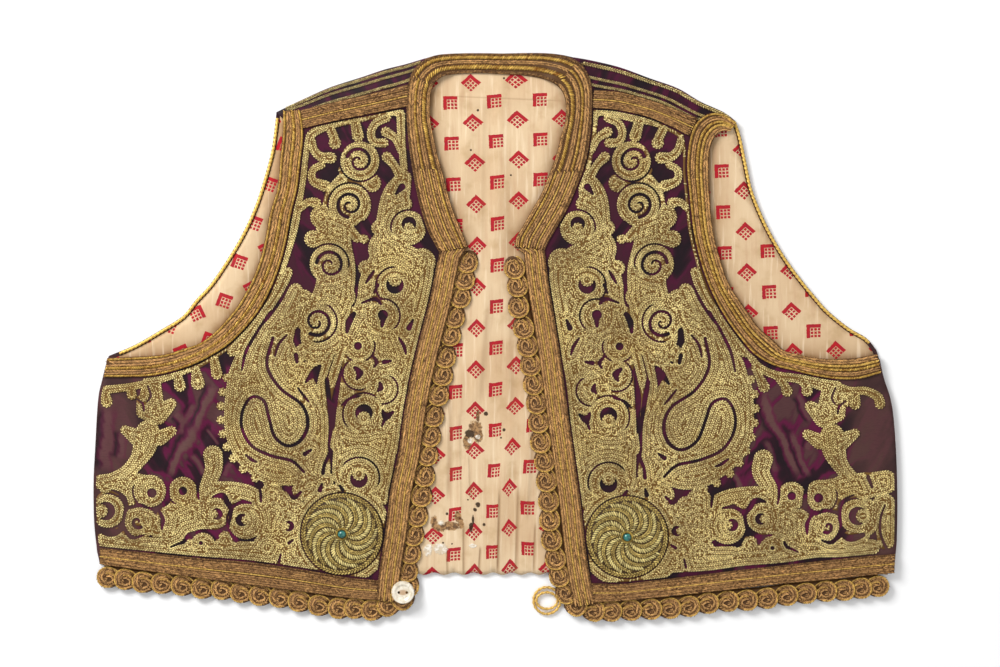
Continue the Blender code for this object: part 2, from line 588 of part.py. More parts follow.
def front_outline(side):
    """A front panel's cut edge, from the shoulder seam round the neck, front, hem and side."""
    outer = front_edge(side)[1]
    if side == "left":
        neck = smooth_rows(NECK_BAND[:11])[::-1, 2:]
        seam = [((a + c) / 2, (b + d) / 2 + SEAM_STEPS / 2) for a, b, c, d in LEFT_SHOULDER_BAND]
        seam = [(283, 124), *seam, (431, 94)]
        hem = smooth_rows(LEFT_HEM_BAND)[::-1, 2:]
        side_edge = smooth_rows(LEFT_SIDE[1:-1], SIDE_SPACING)[::-1]
        armhole = smooth_rows(LEFT_ARMHOLE_BAND[1:])[::-1, 2:]
    else:
        neck = smooth_rows(NECK_BAND[22:])[:, 2:]
        seam = [((a + c) / 2, (b + d) / 2 + SEAM_STEPS / 2) for a, b, c, d in RIGHT_SHOULDER_BAND]
        seam = [(707, 128), *seam[::-1], (566, 102)]
        hem = smooth_rows(RIGHT_HEM_BAND)[:, 2:]
        side_edge = smooth_rows(RIGHT_SIDE[1:-1], SIDE_SPACING)[::-1]
        armhole = smooth_rows(RIGHT_ARMHOLE_BAND[4:])[::-1, 2:]
    return join_lines(seam, neck, outer, hem, side_edge, armhole)


def embroidery_loops(side):
    """Outlines of the couched cord on one front, kept inside its bands and clear of its rosette."""
    inner = front_edge(side)[0]
    if side == "left":
        neck = smooth_rows(NECK_BAND[:10])[::-1, :2]
        seam = smooth_rows(LEFT_SHOULDER_BAND)[:, 2:]
        hem = smooth_rows(LEFT_HEM_BAND)[::-1, :2]
        armhole = smooth_rows(LEFT_ARMHOLE_BAND[2:])[::-1, :2]
    else:
        neck = smooth_rows(NECK_BAND[23:])[:, :2]
        seam = smooth_rows(RIGHT_SHOULDER_BAND)[::-1, 2:]
        hem = smooth_rows(RIGHT_HEM_BAND)[:, :2]
        armhole = smooth_rows(RIGHT_ARMHOLE_BAND[5:])[::-1, :2]
    ground = join_lines(seam, neck, inner[:-2], hem, armhole)
    right, down = field_grid(ground)

    def spot(row):
        return (*row[:2], *row[2:]) if side == "left" else (*mirrored(*row[:2]), *row[2:])

    rosette = ROSETTES[side]
    from_rosette = np.hypot(right - rosette[0], down - rosette[1]) - ROSETTE_STEPS
    motifs = [from_rosette - ROSETTE_CUFF]
    motifs += [np.hypot(right - spot(row)[0], down - spot(row)[1]) - row[2] for row in LOBES]
    motifs += [path_field(right, down, [spot(row) for row in rows]) for rows in STEMS]
    values = np.minimum.reduce(motifs)
    for row in EYES:
        values = np.maximum(values, row[2] - np.hypot(right - spot(row)[0], down - spot(row)[1]))
    groove = path_field(right, down, [spot((*row, GROOVE_STEPS)) for row in PAISLEY_GROOVE])
    values = np.maximum(values, -groove)
    values = np.maximum(values, RELIEF_CLEARANCE - from_rosette)
    values = np.clip(values, -3 * FIELD_STEP, 3 * FIELD_STEP)
    for _ in range(2):
        values[1:-1, 1:-1] = (2 * values[1:-1, 1:-1] + values[:-2, 1:-1] + values[2:, 1:-1]
                              + values[1:-1, :-2] + values[1:-1, 2:]) / 6
    values = np.maximum(values, outline_field(right, down, ground) + RELIEF_CLEARANCE)
    return field_loops(values, right, down, RELIEF_TOLERANCE, LEAST_RELIEF)


def make_front(side):
    name = f"front_{side}"
    front = plate(name, [front_outline(side)], FRONT_Z, FRONT_TOP)
    edge = smooth_rows(LEFT_SIDE[1:-1] if side == "left" else RIGHT_SIDE[1:-1], SIDE_SPACING)
    inside = offset_line(edge, FOLD_STEPS if side == "left" else -FOLD_STEPS)
    rim = join_lines(edge, inside[::-1])
    combine(front, plate(f"{name}.side", [rim], LINING_Z, FRONT_TOP - GAP / 3), "UNION")
    relief = plate(f"{name}.embroidery", embroidery_loops(side), FRONT_TOP - GAP / 2,
                   FRONT_TOP + RELIEF_HEIGHT)
    combine(front, relief, "UNION")
    for number, rows in enumerate(LEFT_CREASES if side == "left" else RIGHT_CREASES):
        combine(front, crease(f"{name}.crease.{number}", rows, FRONT_TOP, CREASE_HEIGHT), "UNION")
    finish_material(front, SILK, 0.35)


# ---------------------------------------------------------------- trims

def neck_base(stations):
    """The neck band lies on the fronts, and comes down behind the neck where there is no front."""
    right, down = stations[:, 2:].T
    rise = np.clip(np.maximum.reduce([(454 - right) / 9, (right - 542) / 9, (down - 86) / 8]), 0, 1)
    return FRONT_Z + (BAND_Z - FRONT_Z) * rise


def make_bands():
    bands = {"neck_band": (NECK_BAND, neck_base),
             "armhole_band_left": (LEFT_ARMHOLE_BAND, BAND_Z),
             "armhole_band_right": (RIGHT_ARMHOLE_BAND, BAND_Z),
             "shoulder_band_left": (LEFT_SHOULDER_BAND, BAND_Z),
             "shoulder_band_right": (RIGHT_SHOULDER_BAND, BAND_Z),
             "hem_band_left": (LEFT_HEM_BAND, BAND_Z),
             "hem_band_right": (RIGHT_HEM_BAND, BAND_Z)}
    for side in ("left", "right"):
        inner, outer = front_edge(side)
        bands[f"front_band_{side}"] = (np.hstack([inner, outer]), BAND_Z)
    for name, (rows, base) in bands.items():
        finish_material(ribbon(name, rows, base), BRAID, 0.7)


def make_edge_cords():
    """Thin gold cords sewn along the armhole edges of the back."""
    for side, rows, away in (("left", LEFT_ARMHOLE, 1), ("right", RIGHT_ARMHOLE, -1)):
        line = offset_line(smooth_rows(rows), EDGE_CORD_INSET * away)[1:-1]
        edge = cord(f"armhole_cord_{side}", line, LINING_Z + EDGE_CORD_RADIUS, EDGE_CORD_RADIUS)
        finish_material(edge, GOLD, 0.5, 0.3)


def make_loops():
    """Curled cord loops down each front edge and along its hem, on the cord that they start from."""
    for side, rows in (("left", LEFT_LOOPS), ("right", RIGHT_LOOPS)):
        strip = np.array(rows, float)
        right, down = field_grid(strip, 14)
        panel = outline_field(right, down, front_outline(side))
        discs = [np.hypot(right - a, down - b) - LOOP_STEPS for a, b in strip]
        links = [stroke_field(right, down, (*a, 0), (*b, 0)) for a, b in zip(strip, strip[1:])]
        header = np.maximum(panel - HEADER_STEPS, np.minimum.reduce(links) - LOOP_STEPS - HEADER_STEPS)
        values = np.maximum(np.minimum.reduce([*discs, header]), SEAM_STEPS + LOOP_TOLERANCE - panel)
        loops = field_loops(values, right, down, LOOP_TOLERANCE, LEAST_PATTERN)
        loop_strip = plate(f"loops_{side}", loops, FRONT_Z, FRONT_Z + LOOP_HEIGHT)
        finish_material(loop_strip, GOLD, 0.6)


def make_rosette(side):
    """A coiled cord disc with raised outer rings and curved spokes, open in the middle for its bead."""
    right, down = ROSETTES[side]
    radius = ROSETTE_STEPS * GRID_STEP
    hole = BEAD_RADIUS + GAP
    rosette = turned(f"rosette_{side}", (
        (hole, 0), (hole, ROSETTE_BASE), (radius * 0.72, ROSETTE_BASE), (radius * 0.78, ROSETTE_BASE * 1.5),
        (radius * 0.86, ROSETTE_BASE * 1.15), (radius * 0.94, ROSETTE_BASE * 1.5), (radius, 0)))
    rosette.location = (*place(right, down), BAND_Z)
    hand = 1 if side == "left" else -1
    spokes = []
    for number in range(ROSETTE_SPOKES):
        start = 2 * math.pi * number / ROSETTE_SPOKES
        rows = []
        for share in SPOKE_SHARES:
            angle = start + hand * ROSETTE_SWIRL * share
            reach = ROSETTE_STEPS * share
            rows.append((right + reach * math.cos(angle), down + reach * math.sin(angle)))
        middle = smooth_rows(rows)
        spokes.append(join_lines(offset_line(middle, SPOKE_HALF), offset_line(middle, -SPOKE_HALF)[::-1]))
    spoke_top = BAND_Z + ROSETTE_BASE * 1.5
    combine(rosette, plate(f"rosette_{side}.spokes", spokes, BAND_Z + ROSETTE_BASE / 2, spoke_top), "UNION")
    finish_material(rosette, GOLD, 0.55)


def make_bead(side):
    bpy.ops.mesh.primitive_uv_sphere_add(segments=TURNED_SIDES // 2, ring_count=6, radius=BEAD_RADIUS)
    bead = bpy.context.object
    bead.name = f"bead_{side}"
    bead.location = (*place(*ROSETTES[side]), BAND_Z + BEAD_RADIUS * BEAD_FLATNESS)
    bead.scale.z = BEAD_FLATNESS
    bpy.ops.object.transform_apply(location=False, rotation=False, scale=True)
    move_to_parts(bead)
    finish_material(bead, BEAD, 0.3)


def move_to_parts(obj):
    for collection in obj.users_collection:
        collection.objects.unlink(obj)
    parts.objects.link(obj)


def make_button():
    """A two-hole shell button sewn at the lower corner of the left front."""
    rim = BUTTON_HEIGHT
    dish = BUTTON_HEIGHT * 0.7
    button = turned("button", (
        (0, 0), (BUTTON_RADIUS * 0.92, 0), (BUTTON_RADIUS, rim * 0.4), (BUTTON_RADIUS * 0.93, rim),
        (BUTTON_RADIUS * 0.72, rim), (BUTTON_RADIUS * 0.55, dish), (0, dish)))
    button.location = (*place(*BUTTON), BUTTON_Z)
    for number, side in enumerate((-1, 1)):
        bpy.ops.mesh.primitive_cylinder_add(vertices=10, radius=BUTTON_HOLE_RADIUS, depth=BUTTON_RADIUS * 3)
        drill = bpy.context.object
        drill.name = f"button.hole.{number}"
        drill.location = button.location
        drill.location.x += side * BUTTON_HOLE_APART / 2
        move_to_parts(drill)
        combine(button, drill, "DIFFERENCE")
    finish_material(button, SHELL, 0.25)


def make_button_loop():
    """A doubled cord ring, sewn under the lower corner of the right front."""
    turns = np.linspace(0, 2 * math.pi, RING_SIDES, endpoint=False)
    loops = []
    for half_width, half_height in (BUTTON_LOOP_OUTER, BUTTON_LOOP_HOLE):
        loops.append([(BUTTON_LOOP[0] + half_width / GRID_STEP * math.cos(turn),
                       BUTTON_LOOP[1] + half_height / GRID_STEP * math.sin(turn)) for turn in turns])
    top = FRONT_Z - GAP
    ring = plate("button_loop", loops, top - BUTTON_LOOP_HEIGHT, top)
    edge = ring.modifiers.new("rounded", "BEVEL")
    edge.width = BUTTON_LOOP_HEIGHT * 0.3
    edge.segments = 1
    finish_material(ring, GOLD, 0.6)


for item in list(bpy.data.objects):
    bpy.data.objects.remove(item)
parts = new_collection("embroidered waistcoat")
cutters = new_collection("cutters")
make_back()
make_lining()
for front_side in ("left", "right"):
    make_front(front_side)
    make_rosette(front_side)
    make_bead(front_side)
make_bands()
make_edge_cords()
make_loops()
make_button()
make_button_loop()
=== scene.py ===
"""Embroidered waistcoat, laid flat and open: the finish of its cloth, couched cord, braid and trims."""
import math

import bmesh
import bpy
import numpy as np
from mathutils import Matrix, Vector
from mathutils.geometry import delaunay_2d_cdt


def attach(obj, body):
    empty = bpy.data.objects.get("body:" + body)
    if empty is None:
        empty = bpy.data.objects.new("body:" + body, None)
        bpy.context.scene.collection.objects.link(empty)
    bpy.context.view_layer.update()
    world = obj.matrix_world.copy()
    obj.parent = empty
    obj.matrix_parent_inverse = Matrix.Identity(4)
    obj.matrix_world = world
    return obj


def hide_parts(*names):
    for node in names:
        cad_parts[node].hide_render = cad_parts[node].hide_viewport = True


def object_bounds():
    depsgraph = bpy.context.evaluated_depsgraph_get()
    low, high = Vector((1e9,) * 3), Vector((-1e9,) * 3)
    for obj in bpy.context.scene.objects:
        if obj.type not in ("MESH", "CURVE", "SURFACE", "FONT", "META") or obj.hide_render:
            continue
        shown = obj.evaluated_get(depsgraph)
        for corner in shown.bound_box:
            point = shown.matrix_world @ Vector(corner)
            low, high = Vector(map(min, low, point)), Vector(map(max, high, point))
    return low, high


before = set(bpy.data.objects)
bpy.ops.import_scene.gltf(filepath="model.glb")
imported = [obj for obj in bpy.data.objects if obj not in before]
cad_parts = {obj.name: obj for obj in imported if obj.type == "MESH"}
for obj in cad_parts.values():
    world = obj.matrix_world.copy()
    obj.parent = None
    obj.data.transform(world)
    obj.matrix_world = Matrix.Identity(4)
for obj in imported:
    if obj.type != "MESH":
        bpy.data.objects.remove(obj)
cad_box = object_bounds()
bpy.ops.object.select_all(action="DESELECT")


# ---------------------------------------------------------------- table, camera and lights
# The garment lies on a plain pale table and is seen from straight above.
# Soft window light falls from the upper left, with a weaker fill from the right.
VIEW_WIDTH = 0.6                # metres of the table that the camera takes in, side to side
VIEW_MIDDLE = (0.00258, 0.0012)
LENS = 100
SENSOR = 36
TABLE_SIZE = 6
TABLE_WHITE = 0.94
ROOM_LIGHT = 0.55


def lamp(name, place, size, power):
    """A soft square light that faces the garment."""
    light = bpy.data.lights.new(name, "AREA")
    light.size = size
    light.energy = power
    obj = bpy.data.objects.new(name, light)
    bpy.context.scene.collection.objects.link(obj)
    obj.location = place
    obj.rotation_euler = (-Vector(place)).to_track_quat("-Z", "Y").to_euler()


camera = bpy.data.cameras.new("camera")
camera.lens = LENS
camera.sensor_width = SENSOR
camera_object = bpy.data.objects.new("camera", camera)
bpy.context.scene.collection.objects.link(camera_object)
camera_object.location = (*VIEW_MIDDLE, cad_box[1][2] / 2 + VIEW_WIDTH * LENS / SENSOR)
bpy.context.scene.camera = camera_object

bpy.ops.mesh.primitive_plane_add(size=TABLE_SIZE)
table = bpy.context.object
table.name = "table"
table_paint = bpy.data.materials.new("table paint")
table_paint.use_nodes = True
table_shader = table_paint.node_tree.nodes["Principled BSDF"]
table_shader.inputs["Base Color"].default_value = (TABLE_WHITE, TABLE_WHITE, TABLE_WHITE, 1)
table_shader.inputs["Roughness"].default_value = 0.9
table.data.materials.append(table_paint)

lamp("window", (-0.9, 0.9, 0.95), 0.7, 27)
lamp("fill", (1.2, -0.4, 1.3), 1.6, 6)
world = bpy.data.worlds.new("room")
world.use_nodes = True
world.node_tree.nodes["Background"].inputs["Color"].default_value = (1, 1, 1, 1)
world.node_tree.nodes["Background"].inputs["Strength"].default_value = ROOM_LIGHT
bpy.context.scene.world = world
bpy.context.scene.view_settings.view_transform = "Standard"


# ---------------------------------------------------------------- back
# Purple shot silk, cut whole, that lies face down under everything else.
# Its shoulder edges fold over the fronts as two narrow yoke strips.
GRID_STEP = 0.0006              # every pattern table is in steps of this grid, right and down
GRID_MIDDLE = (495.7, 335.5)
LEFT_ARMHOLE = (
    (276, 112), (274, 130), (270, 155), (260, 190), (252, 212), (240, 237), (225, 262), (209, 285),
    (195, 300), (182, 316), (160, 330), (134, 345), (108, 356)
)
LEFT_SIDE = (
    (108, 356), (106.5, 362), (102, 380), (98, 400), (95, 450), (93.4, 483), (94, 522), (97, 552), (99, 564)
)
RIGHT_ARMHOLE = (
    (736, 121), (741, 135), (747, 163), (753, 190), (765, 220), (780, 248), (797, 273), (818, 299),
    (830, 312), (850, 328), (867, 338), (877, 350)
)
RIGHT_SIDE = (
    (877, 350), (880, 360), (884, 378), (892, 405), (896, 448), (897.5, 498), (897, 541), (894, 559)
)
LEFT_SHOULDER = ((276, 112), (290, 105), (305, 98), (330, 87), (361, 77), (385, 69), (405, 64), (425, 58))
RIGHT_SHOULDER = ((574, 57), (591, 60), (620, 67), (650, 78), (678, 88), (700, 101), (724, 112), (736, 121))
NECK_TOP = ((425, 58), (440, 54), (465, 53), (500, 53), (540, 52.5), (560, 54), (574, 57))
BACK_HEM = ((99, 564), (240, 570), (370, 572), (500, 571), (630, 571), (760, 567), (894, 559))
LEFT_SHOULDER_BAND = (
    (305, 109, 306, 128), (330, 103, 330, 122), (365, 95, 365, 115), (390, 89, 390, 110),
    (405, 85, 405, 107)
)
RIGHT_SHOULDER_BAND = (
    (594, 90, 593, 108), (620, 92, 617, 110), (650, 100, 648, 117), (675, 109, 672, 127),
    (690, 115, 685, 134)
)
# Folds of the silk, painted with a grey sheen between magenta sheen rims and each with a painted shadow in
# the groove at its left or, for a fold given from its lower end, at its right: right and down of both ends,
# half width, strength.
SILK_FOLD_SHADING = (
    (217, 384, 196, 430, 4.2, 0.95), (198, 424, 168, 474, 4.6, 0.95), (195, 402, 180, 434, 3.4, 0.6),
    (206, 428, 219, 444, 1.6, 0.6), (191, 454, 203, 475, 2.6, 0.75), (176, 412, 184, 420, 4, 0.7),
    (112, 404, 101, 470, 5.5, 0.6), (124, 430, 119, 458, 5, 0.5), (232, 462, 224, 476, 3, 0.5),
    (758, 388, 797, 476, 5, 0.9), (790, 430, 808, 476, 3.4, 0.8), (797, 392, 812, 420, 3, 0.7),
    (814, 436, 808, 450, 4, 0.7), (734, 472, 744, 488, 3.4, 0.8), (762, 440, 776, 472, 3, 0.6)
)
# Where the crumpled skirt and the painted grey sheen near the side edge start and are whole, in metres from
# the middle.
SKIRT_FROM = (0.125, 0.16)
SIDE_FROM = (0.205, 0.22)
# Where the seam of each folded strip ends, at the armhole and at the neck.
YOKE_ENDS = {"left": ((282, 118), (433, 84)), "right": ((705, 119), (563, 92))}
BACK_SPACING = 12               # grid steps between the places that the cloth's surface is drawn through
BACK_TOP = 0.0012               # heights over the table, in metres
FRONT_BOTTOM = 0.0028
FRONT_TOP = 0.0042
BAND_BOTTOM = 0.0045
SINK = 0.0002                   # how deep a piece sinks into the cloth that carries it


class Flow:
    """One socket of a material's nodes, so that sums on it read as plain arithmetic."""

    def __init__(self, tree, socket=None):
        self.tree = tree
        self.socket = socket

    def node(self, kind, settings=None, inputs=None, output=0):
        node = self.tree.nodes.new(kind)
        for key, value in (settings or {}).items():
            setattr(node, key, value)
        for key, value in (inputs or {}).items():
            if isinstance(value, Flow):
                self.tree.links.new(value.socket, node.inputs[key])
            else:
                node.inputs[key].default_value = value
        return Flow(self.tree, node.outputs[output])

    def math(self, operation, *values):
        return self.node("ShaderNodeMath", {"operation": operation}, dict(enumerate(values)))

    def __add__(self, other):
        return self.math("ADD", self, other)

    def __radd__(self, other):
        return self.math("ADD", other, self)

    def __sub__(self, other):
        return self.math("SUBTRACT", self, other)

    def __rsub__(self, other):
        return self.math("SUBTRACT", other, self)

    def __mul__(self, other):
        return self.math("MULTIPLY", self, other)

    def __rmul__(self, other):
        return self.math("MULTIPLY", other, self)

    def __truediv__(self, other):
        return self.math("DIVIDE", self, other)

    def __lt__(self, other):
        return self.math("LESS_THAN", self, other)

    def __abs__(self):
        return self.math("ABSOLUTE", self)

    def smaller(self, other):
        return self.math("MINIMUM", self, other)

    def larger(self, other):
        return self.math("MAXIMUM", self, other)

    def part(self):
        """What is left over a whole number."""
        return self.math("FRACT", self)

    def clamped(self):
        return self.larger(0.0).smaller(1.0)

    def step(self, low, high):
        """0 below low, 1 above high and a soft change between them."""
        settings = {"interpolation_type": "SMOOTHSTEP"}
        return self.node("ShaderNodeMapRange", settings, {"Value": self, "From Min": low, "From Max": high})

    def blend(self, colour, other):
        """The first colour where this is 0 and the other where it is 1."""
        return self.node("ShaderNodeMix", {"data_type": "RGBA"}, {0: self, 6: colour, 7: other}, 2)

    def places(self):
        """Places on the piece, in metres."""
        return self.node("ShaderNodeTexCoord", output="Object")

    def right_and_up(self):
        """The first two parts of a place."""
        return [self.node("ShaderNodeSeparateXYZ", None, {0: self}, part) for part in (0, 1)]

    def stretched(self, *scale):
        return self.node("ShaderNodeMapping", None, {"Vector": self, "Scale": scale})

    def noise(self, spot, scale, detail=3.0, roughness=0.5, distortion=0.0):
        inputs = {"Scale": scale, "Detail": detail, "Roughness": roughness, "Distortion": distortion}
        return self.node("ShaderNodeTexNoise", None, {"Vector": spot, **inputs})

    def attribute(self, name):
        return self.node("ShaderNodeAttribute", {"attribute_name": name}, output="Fac")

    def bump(self, height, strength, distance):
        inputs = {"Height": height, "Strength": strength, "Distance": distance}
        return self.node("ShaderNodeBump", None, inputs)


def dye(red, green, blue):
    """A colour as a dyer's chart gives it, 0 to 255, turned to the shader's own scale."""
    shares = [value / 255 for value in (red, green, blue)]
    return (*[share / 12.92 if share < 0.04045 else ((share + 0.055) / 1.055) ** 2.4 for share in shares], 1)


SILK_DARK = dye(18, 1, 10)


def finish(name, constants, build):
    """A material with fixed values on its shader, and the links that build gives for the rest."""
    material = bpy.data.materials.new(name)
    material.use_nodes = True
    shader = material.node_tree.nodes["Principled BSDF"]
    for key, value in constants.items():
        shader.inputs[key].default_value = value
    for key, flow in build(Flow(material.node_tree)).items():
        material.node_tree.links.new(flow.socket, shader.inputs[key])
    return material


def beside_fold(x, y, row):
    """How far a place lies to one side of a fold line, as a share of its reach, and 1 along its length."""
    right, down, last_right, last_down, reach = row
    start = place(right, down)
    run = [float(step) for step in np.subtract(place(last_right, last_down), start)]
    length = math.hypot(*run)
    share = ((x - start[0]) * run[0] + (y - start[1]) * run[1]) * (1 / length ** 2)
    away = ((y - start[1]) * run[0] - (x - start[0]) * run[1]) * (1 / length / (reach * GRID_STEP))
    return away, share.step(0.0, 0.2) * share.step(1.06, 0.88)


def silk(flow):
    """Shot silk: dark purple with painted light and shade on its slanting crinkles: darker in their troughs,
    a painted grey and magenta sheen along them, and painted shadow in the grooves of its folds.
    """
    spot = flow.places()
    x, y = spot.right_and_up()
    lean = {0: abs(x) * 0.86 + y * -0.5, 1: abs(x) * 0.5 + y * 0.86}       # 30 degrees off upright
    slant = flow.node("ShaderNodeCombineXYZ", None, lean).stretched(75.0, 30.0, 1.0)
    crinkle = flow.noise(slant, 1.0, 2.0, 0.45, 0.5)
    fine = flow.noise(slant, 4.0, 3.0, 0.55, 0.4)
    fold = crinkle + (fine - 0.5) * 0.12
    skirt = abs(x).step(*SKIRT_FROM)
    side_edge = abs(x).step(*SIDE_FROM)
    # Painted light on the crinkles, stronger on the skirt: the silk darker in their troughs, magenta sheen on
    # their sides and grey sheen on their crests.
    magenta = fold.step(0.47, 0.53) * fold.step(0.6, 0.54) * (0.25 + skirt * 0.4)
    grey = fold.step(0.54, 0.62) * (0.1 + skirt * 0.65)
    colour = fold.step(0.35, 0.6).blend(SILK_DARK, dye(54, 3, 28))
    colour = grey.blend(magenta.blend(colour, dye(98, 5, 58)), dye(82, 52, 50))
    # Painted grey sheen near the side edges, broken up by the crinkles.
    colour = (side_edge * (fold * 1.5 + 0.05)).clamped().blend(colour, dye(76, 47, 44))
    swerve = flow.noise(spot, 38.0, 2.0)
    ragged = (swerve - 0.5) * 5.0 + (crinkle - 0.5) * 1.5 + (fine - 0.5) * 1.2
    # Along each fold: painted shadow in its groove, painted magenta sheen on its rims and painted grey sheen
    # on its ridge.
    for *row, strength in SILK_FOLD_SHADING:
        away, here = beside_fold(x, y, row)
        away = away + ragged
        groove = away.step(-2.6, -1.5) * away.step(-0.4, -1.1)
        rim = abs(away).step(1.7, 0.9)
        ridge = abs(away).step(1.1, 0.3)
        colour = (groove * here * 0.85).blend(colour, SILK_DARK)
        colour = (rim * here * strength * 0.75).blend(colour, dye(88, 5, 50))
        colour = (ridge * here * strength).blend(colour, dye(90, 60, 56))
    slub = flow.noise(spot.stretched(150.0, 1900.0, 150.0), 2.0, 2.0)
    colour = (slub.step(0.5, 0.75) * 0.3).blend(colour, dye(40, 4, 26))
    return {"Base Color": colour, "Roughness": 0.42 + fine * 0.2,
            "Normal": flow.bump(fold + slub * 0.06, 0.6, 0.0012)}


def place(right, down):
    """Metres of a place on the pattern grid."""
    return ((right - GRID_MIDDLE[0]) * GRID_STEP, (GRID_MIDDLE[1] - down) * GRID_STEP)


def smooth_rows(rows, spacing):
    """Rows read from a smooth curve through the table's rows, about the spacing apart."""
    table_rows = np.array(rows, float)
    ends = np.vstack([2 * table_rows[0] - table_rows[1], table_rows, 2 * table_rows[-1] - table_rows[-2]])
    result = []
    for before, start, after_start, after in zip(ends, ends[1:], ends[2:], ends[3:]):
        count = max(1, round(math.dist(start[:2], after_start[:2]) / spacing))
        for t in np.arange(count) / count:
            result.append(0.5 * (2 * start + (after_start - before) * t
                                 + (2 * before - 5 * start + 4 * after_start - after) * t ** 2
                                 + (3 * start - before - 3 * after_start + after) * t ** 3))
    result.append(table_rows[-1])
    return np.array(result)


def directions(line):
    """The way that a line runs at each of its points, one unit long."""
    along = np.gradient(line, axis=0)
    return along / np.linalg.norm(along, axis=1)[:, None]


def square_to(along):
    """Directions square to these, to their left as they run down the grid."""
    return np.stack([along[:, 1], -along[:, 0]], axis=1)


def run_along(line):
    """How far along a line each of its points lies."""
    return np.concatenate([[0], np.cumsum(np.linalg.norm(np.diff(line, axis=0), axis=1))])


def offset_line(line, distance):
    """The line moved sideways, to its left as it runs down the grid for a positive distance."""
    return line + distance * square_to(directions(line))


def join_lines(*lines):
    """One closed outline from lines that follow each other, without doubled corners."""
    outline = []
    for point in np.vstack(lines):
        if not outline or math.dist(outline[-1], point) > 0.3:
            outline.append(tuple(point))
    if math.dist(outline[0], outline[-1]) < 0.3:
        outline.pop()
    return np.array(outline)


def silhouette(hem):
    """The garment's outline, laid flat, with the given hem line."""
    tables = (LEFT_SHOULDER, NECK_TOP, RIGHT_SHOULDER, RIGHT_ARMHOLE, RIGHT_SIDE)
    down_one_side = [smooth_rows(rows, 5) for rows in tables]
    return join_lines(*down_one_side, smooth_rows(hem, 6)[::-1],
                      smooth_rows(LEFT_SIDE, 5)[::-1], smooth_rows(LEFT_ARMHOLE, 5)[::-1])


def stroke_field(right, down, start, end):
    """Signed distance to a straight stroke between two (right, down, radius) rows."""
    across = end[0] - start[0]
    drop = end[1] - start[1]
    length = across ** 2 + drop ** 2
    t = np.clip(((right - start[0]) * across + (down - start[1]) * drop) / max(length, 1e-9), 0, 1)
    radius = start[2] + t * (end[2] - start[2])
    return np.hypot(right - start[0] - t * across, down - start[1] - t * drop) - radius


def outline_field(right, down, outline):
    """Signed distance to a closed outline, negative inside."""
    distance = np.full(right.shape, 1e9)
    inside = np.zeros(right.shape, bool)
    for start, end in zip(outline, np.roll(outline, -1, axis=0)):
        distance = np.minimum(distance, stroke_field(right, down, (*start, 0), (*end, 0)))
        crosses = (start[1] > down) != (end[1] > down)
        rise = end[1] - start[1]
        edge = start[0] + (down - start[1]) * (end[0] - start[0]) / (rise if rise else 1)
        inside ^= crosses & (right < edge)
    return np.where(inside, -distance, distance)


def shell(spots, faces, tops, bottoms):
    """Vertices and faces of a closed thin shell: the top faces, the same below, and walls round the edge."""
    count = len(spots)
    x, y = place(spots[:, 0], spots[:, 1])
    vertices = np.vstack([np.column_stack([x, y, tops]), np.column_stack([x, y, bottoms])])
    edges = np.vstack([faces[:, [0, 1]], faces[:, [1, 2]], faces[:, [2, 0]]])
    used = {(a, b) for a, b in edges.tolist()}
    walls = [(a, a + count, b + count, b) for a, b in edges.tolist() if (b, a) not in used]
    below = faces[:, ::-1] + count
    return vertices, [*faces.tolist(), *below.tolist(), *walls]


def flat_cloth(corners, edges, kept):
    """Places and upward faces of flat cloth between corners and edges, where kept says there is cloth."""
    spots, _, faces = delaunay_2d_cdt([Vector(corner) for corner in corners], edges, [], 0, 1e-5, False)[:3]
    spots, faces = np.array(spots), np.array(faces)
    faces = faces[kept(spots[faces])]
    turned = spots[faces]
    ahead, aside = turned[:, 1] - turned[:, 0], turned[:, 2] - turned[:, 0]
    flipped = ahead[:, 0] * aside[:, 1] - ahead[:, 1] * aside[:, 0] > 0
    faces[flipped] = faces[flipped][:, ::-1]
    used = np.unique(faces)
    order = np.full(len(spots), -1)
    order[used] = np.arange(len(used))
    return spots[used], order[faces]


def cloth_shell(outline, spacing, top, bottom):
    """A closed thin shell of cloth cut to an outline, its two sides at heights worked out from the place."""
    low = outline.min(axis=0)
    high = outline.max(axis=0)
    right, down = np.meshgrid(np.arange(low[0], high[0], spacing), np.arange(low[1], high[1], spacing * 0.87))
    right[1::2] += spacing / 2
    clear = outline_field(right, down, outline) < -spacing * 0.55
    corners = np.vstack([outline, np.column_stack([right[clear], down[clear]])])
    edges = [(k, (k + 1) % len(outline)) for k in range(len(outline))]
    spots, faces = flat_cloth(corners, edges, lambda faces: outline_field(*faces.mean(axis=1).T, outline) < 0)
    return (spots, *shell(spots, faces, top(spots), bottom(spots)))


def new_piece(name, vertices, faces, material):
    mesh = bpy.data.meshes.new(name)
    mesh.from_pydata(vertices if isinstance(vertices, list) else vertices.tolist(), [], faces)
    mesh.validate()
    mesh.shade_smooth()
    mesh.materials.append(material)
    piece = bpy.data.objects.new(name, mesh)
    bpy.context.scene.collection.objects.link(piece)
    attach(piece, "root")
    return piece


def loft(sections):
    """Vertices and faces of a closed tube through sections of equal count, with capped ends."""
    sections = np.array(sections)
    rings, count = sections.shape[:2]
    faces = []
    for ring in range(rings - 1):
        for k in range(count):
            a = ring * count + k
            b = ring * count + (k + 1) % count
            faces.append((a, b, b + count, a + count))
    faces.append(tuple(range(count))[::-1])
    faces.append(tuple(range((rings - 1) * count, rings * count)))
    return sections.reshape(-1, 3), faces


def add_shells(*shells):
    """Several closed shells as one list of vertices and faces."""
    vertices = []
    faces = []
    for shell_vertices, shell_faces in shells:
        faces += [tuple(k + len(vertices) for k in face) for face in shell_faces]
        vertices += [tuple(vertex) for vertex in shell_vertices]
    return vertices, faces


def set_faces_outwards(piece):
    welded = bmesh.new()
    welded.from_mesh(piece.data)
    bmesh.ops.recalc_face_normals(welded, faces=welded.faces)
    welded.to_mesh(piece.data)
    welded.free()


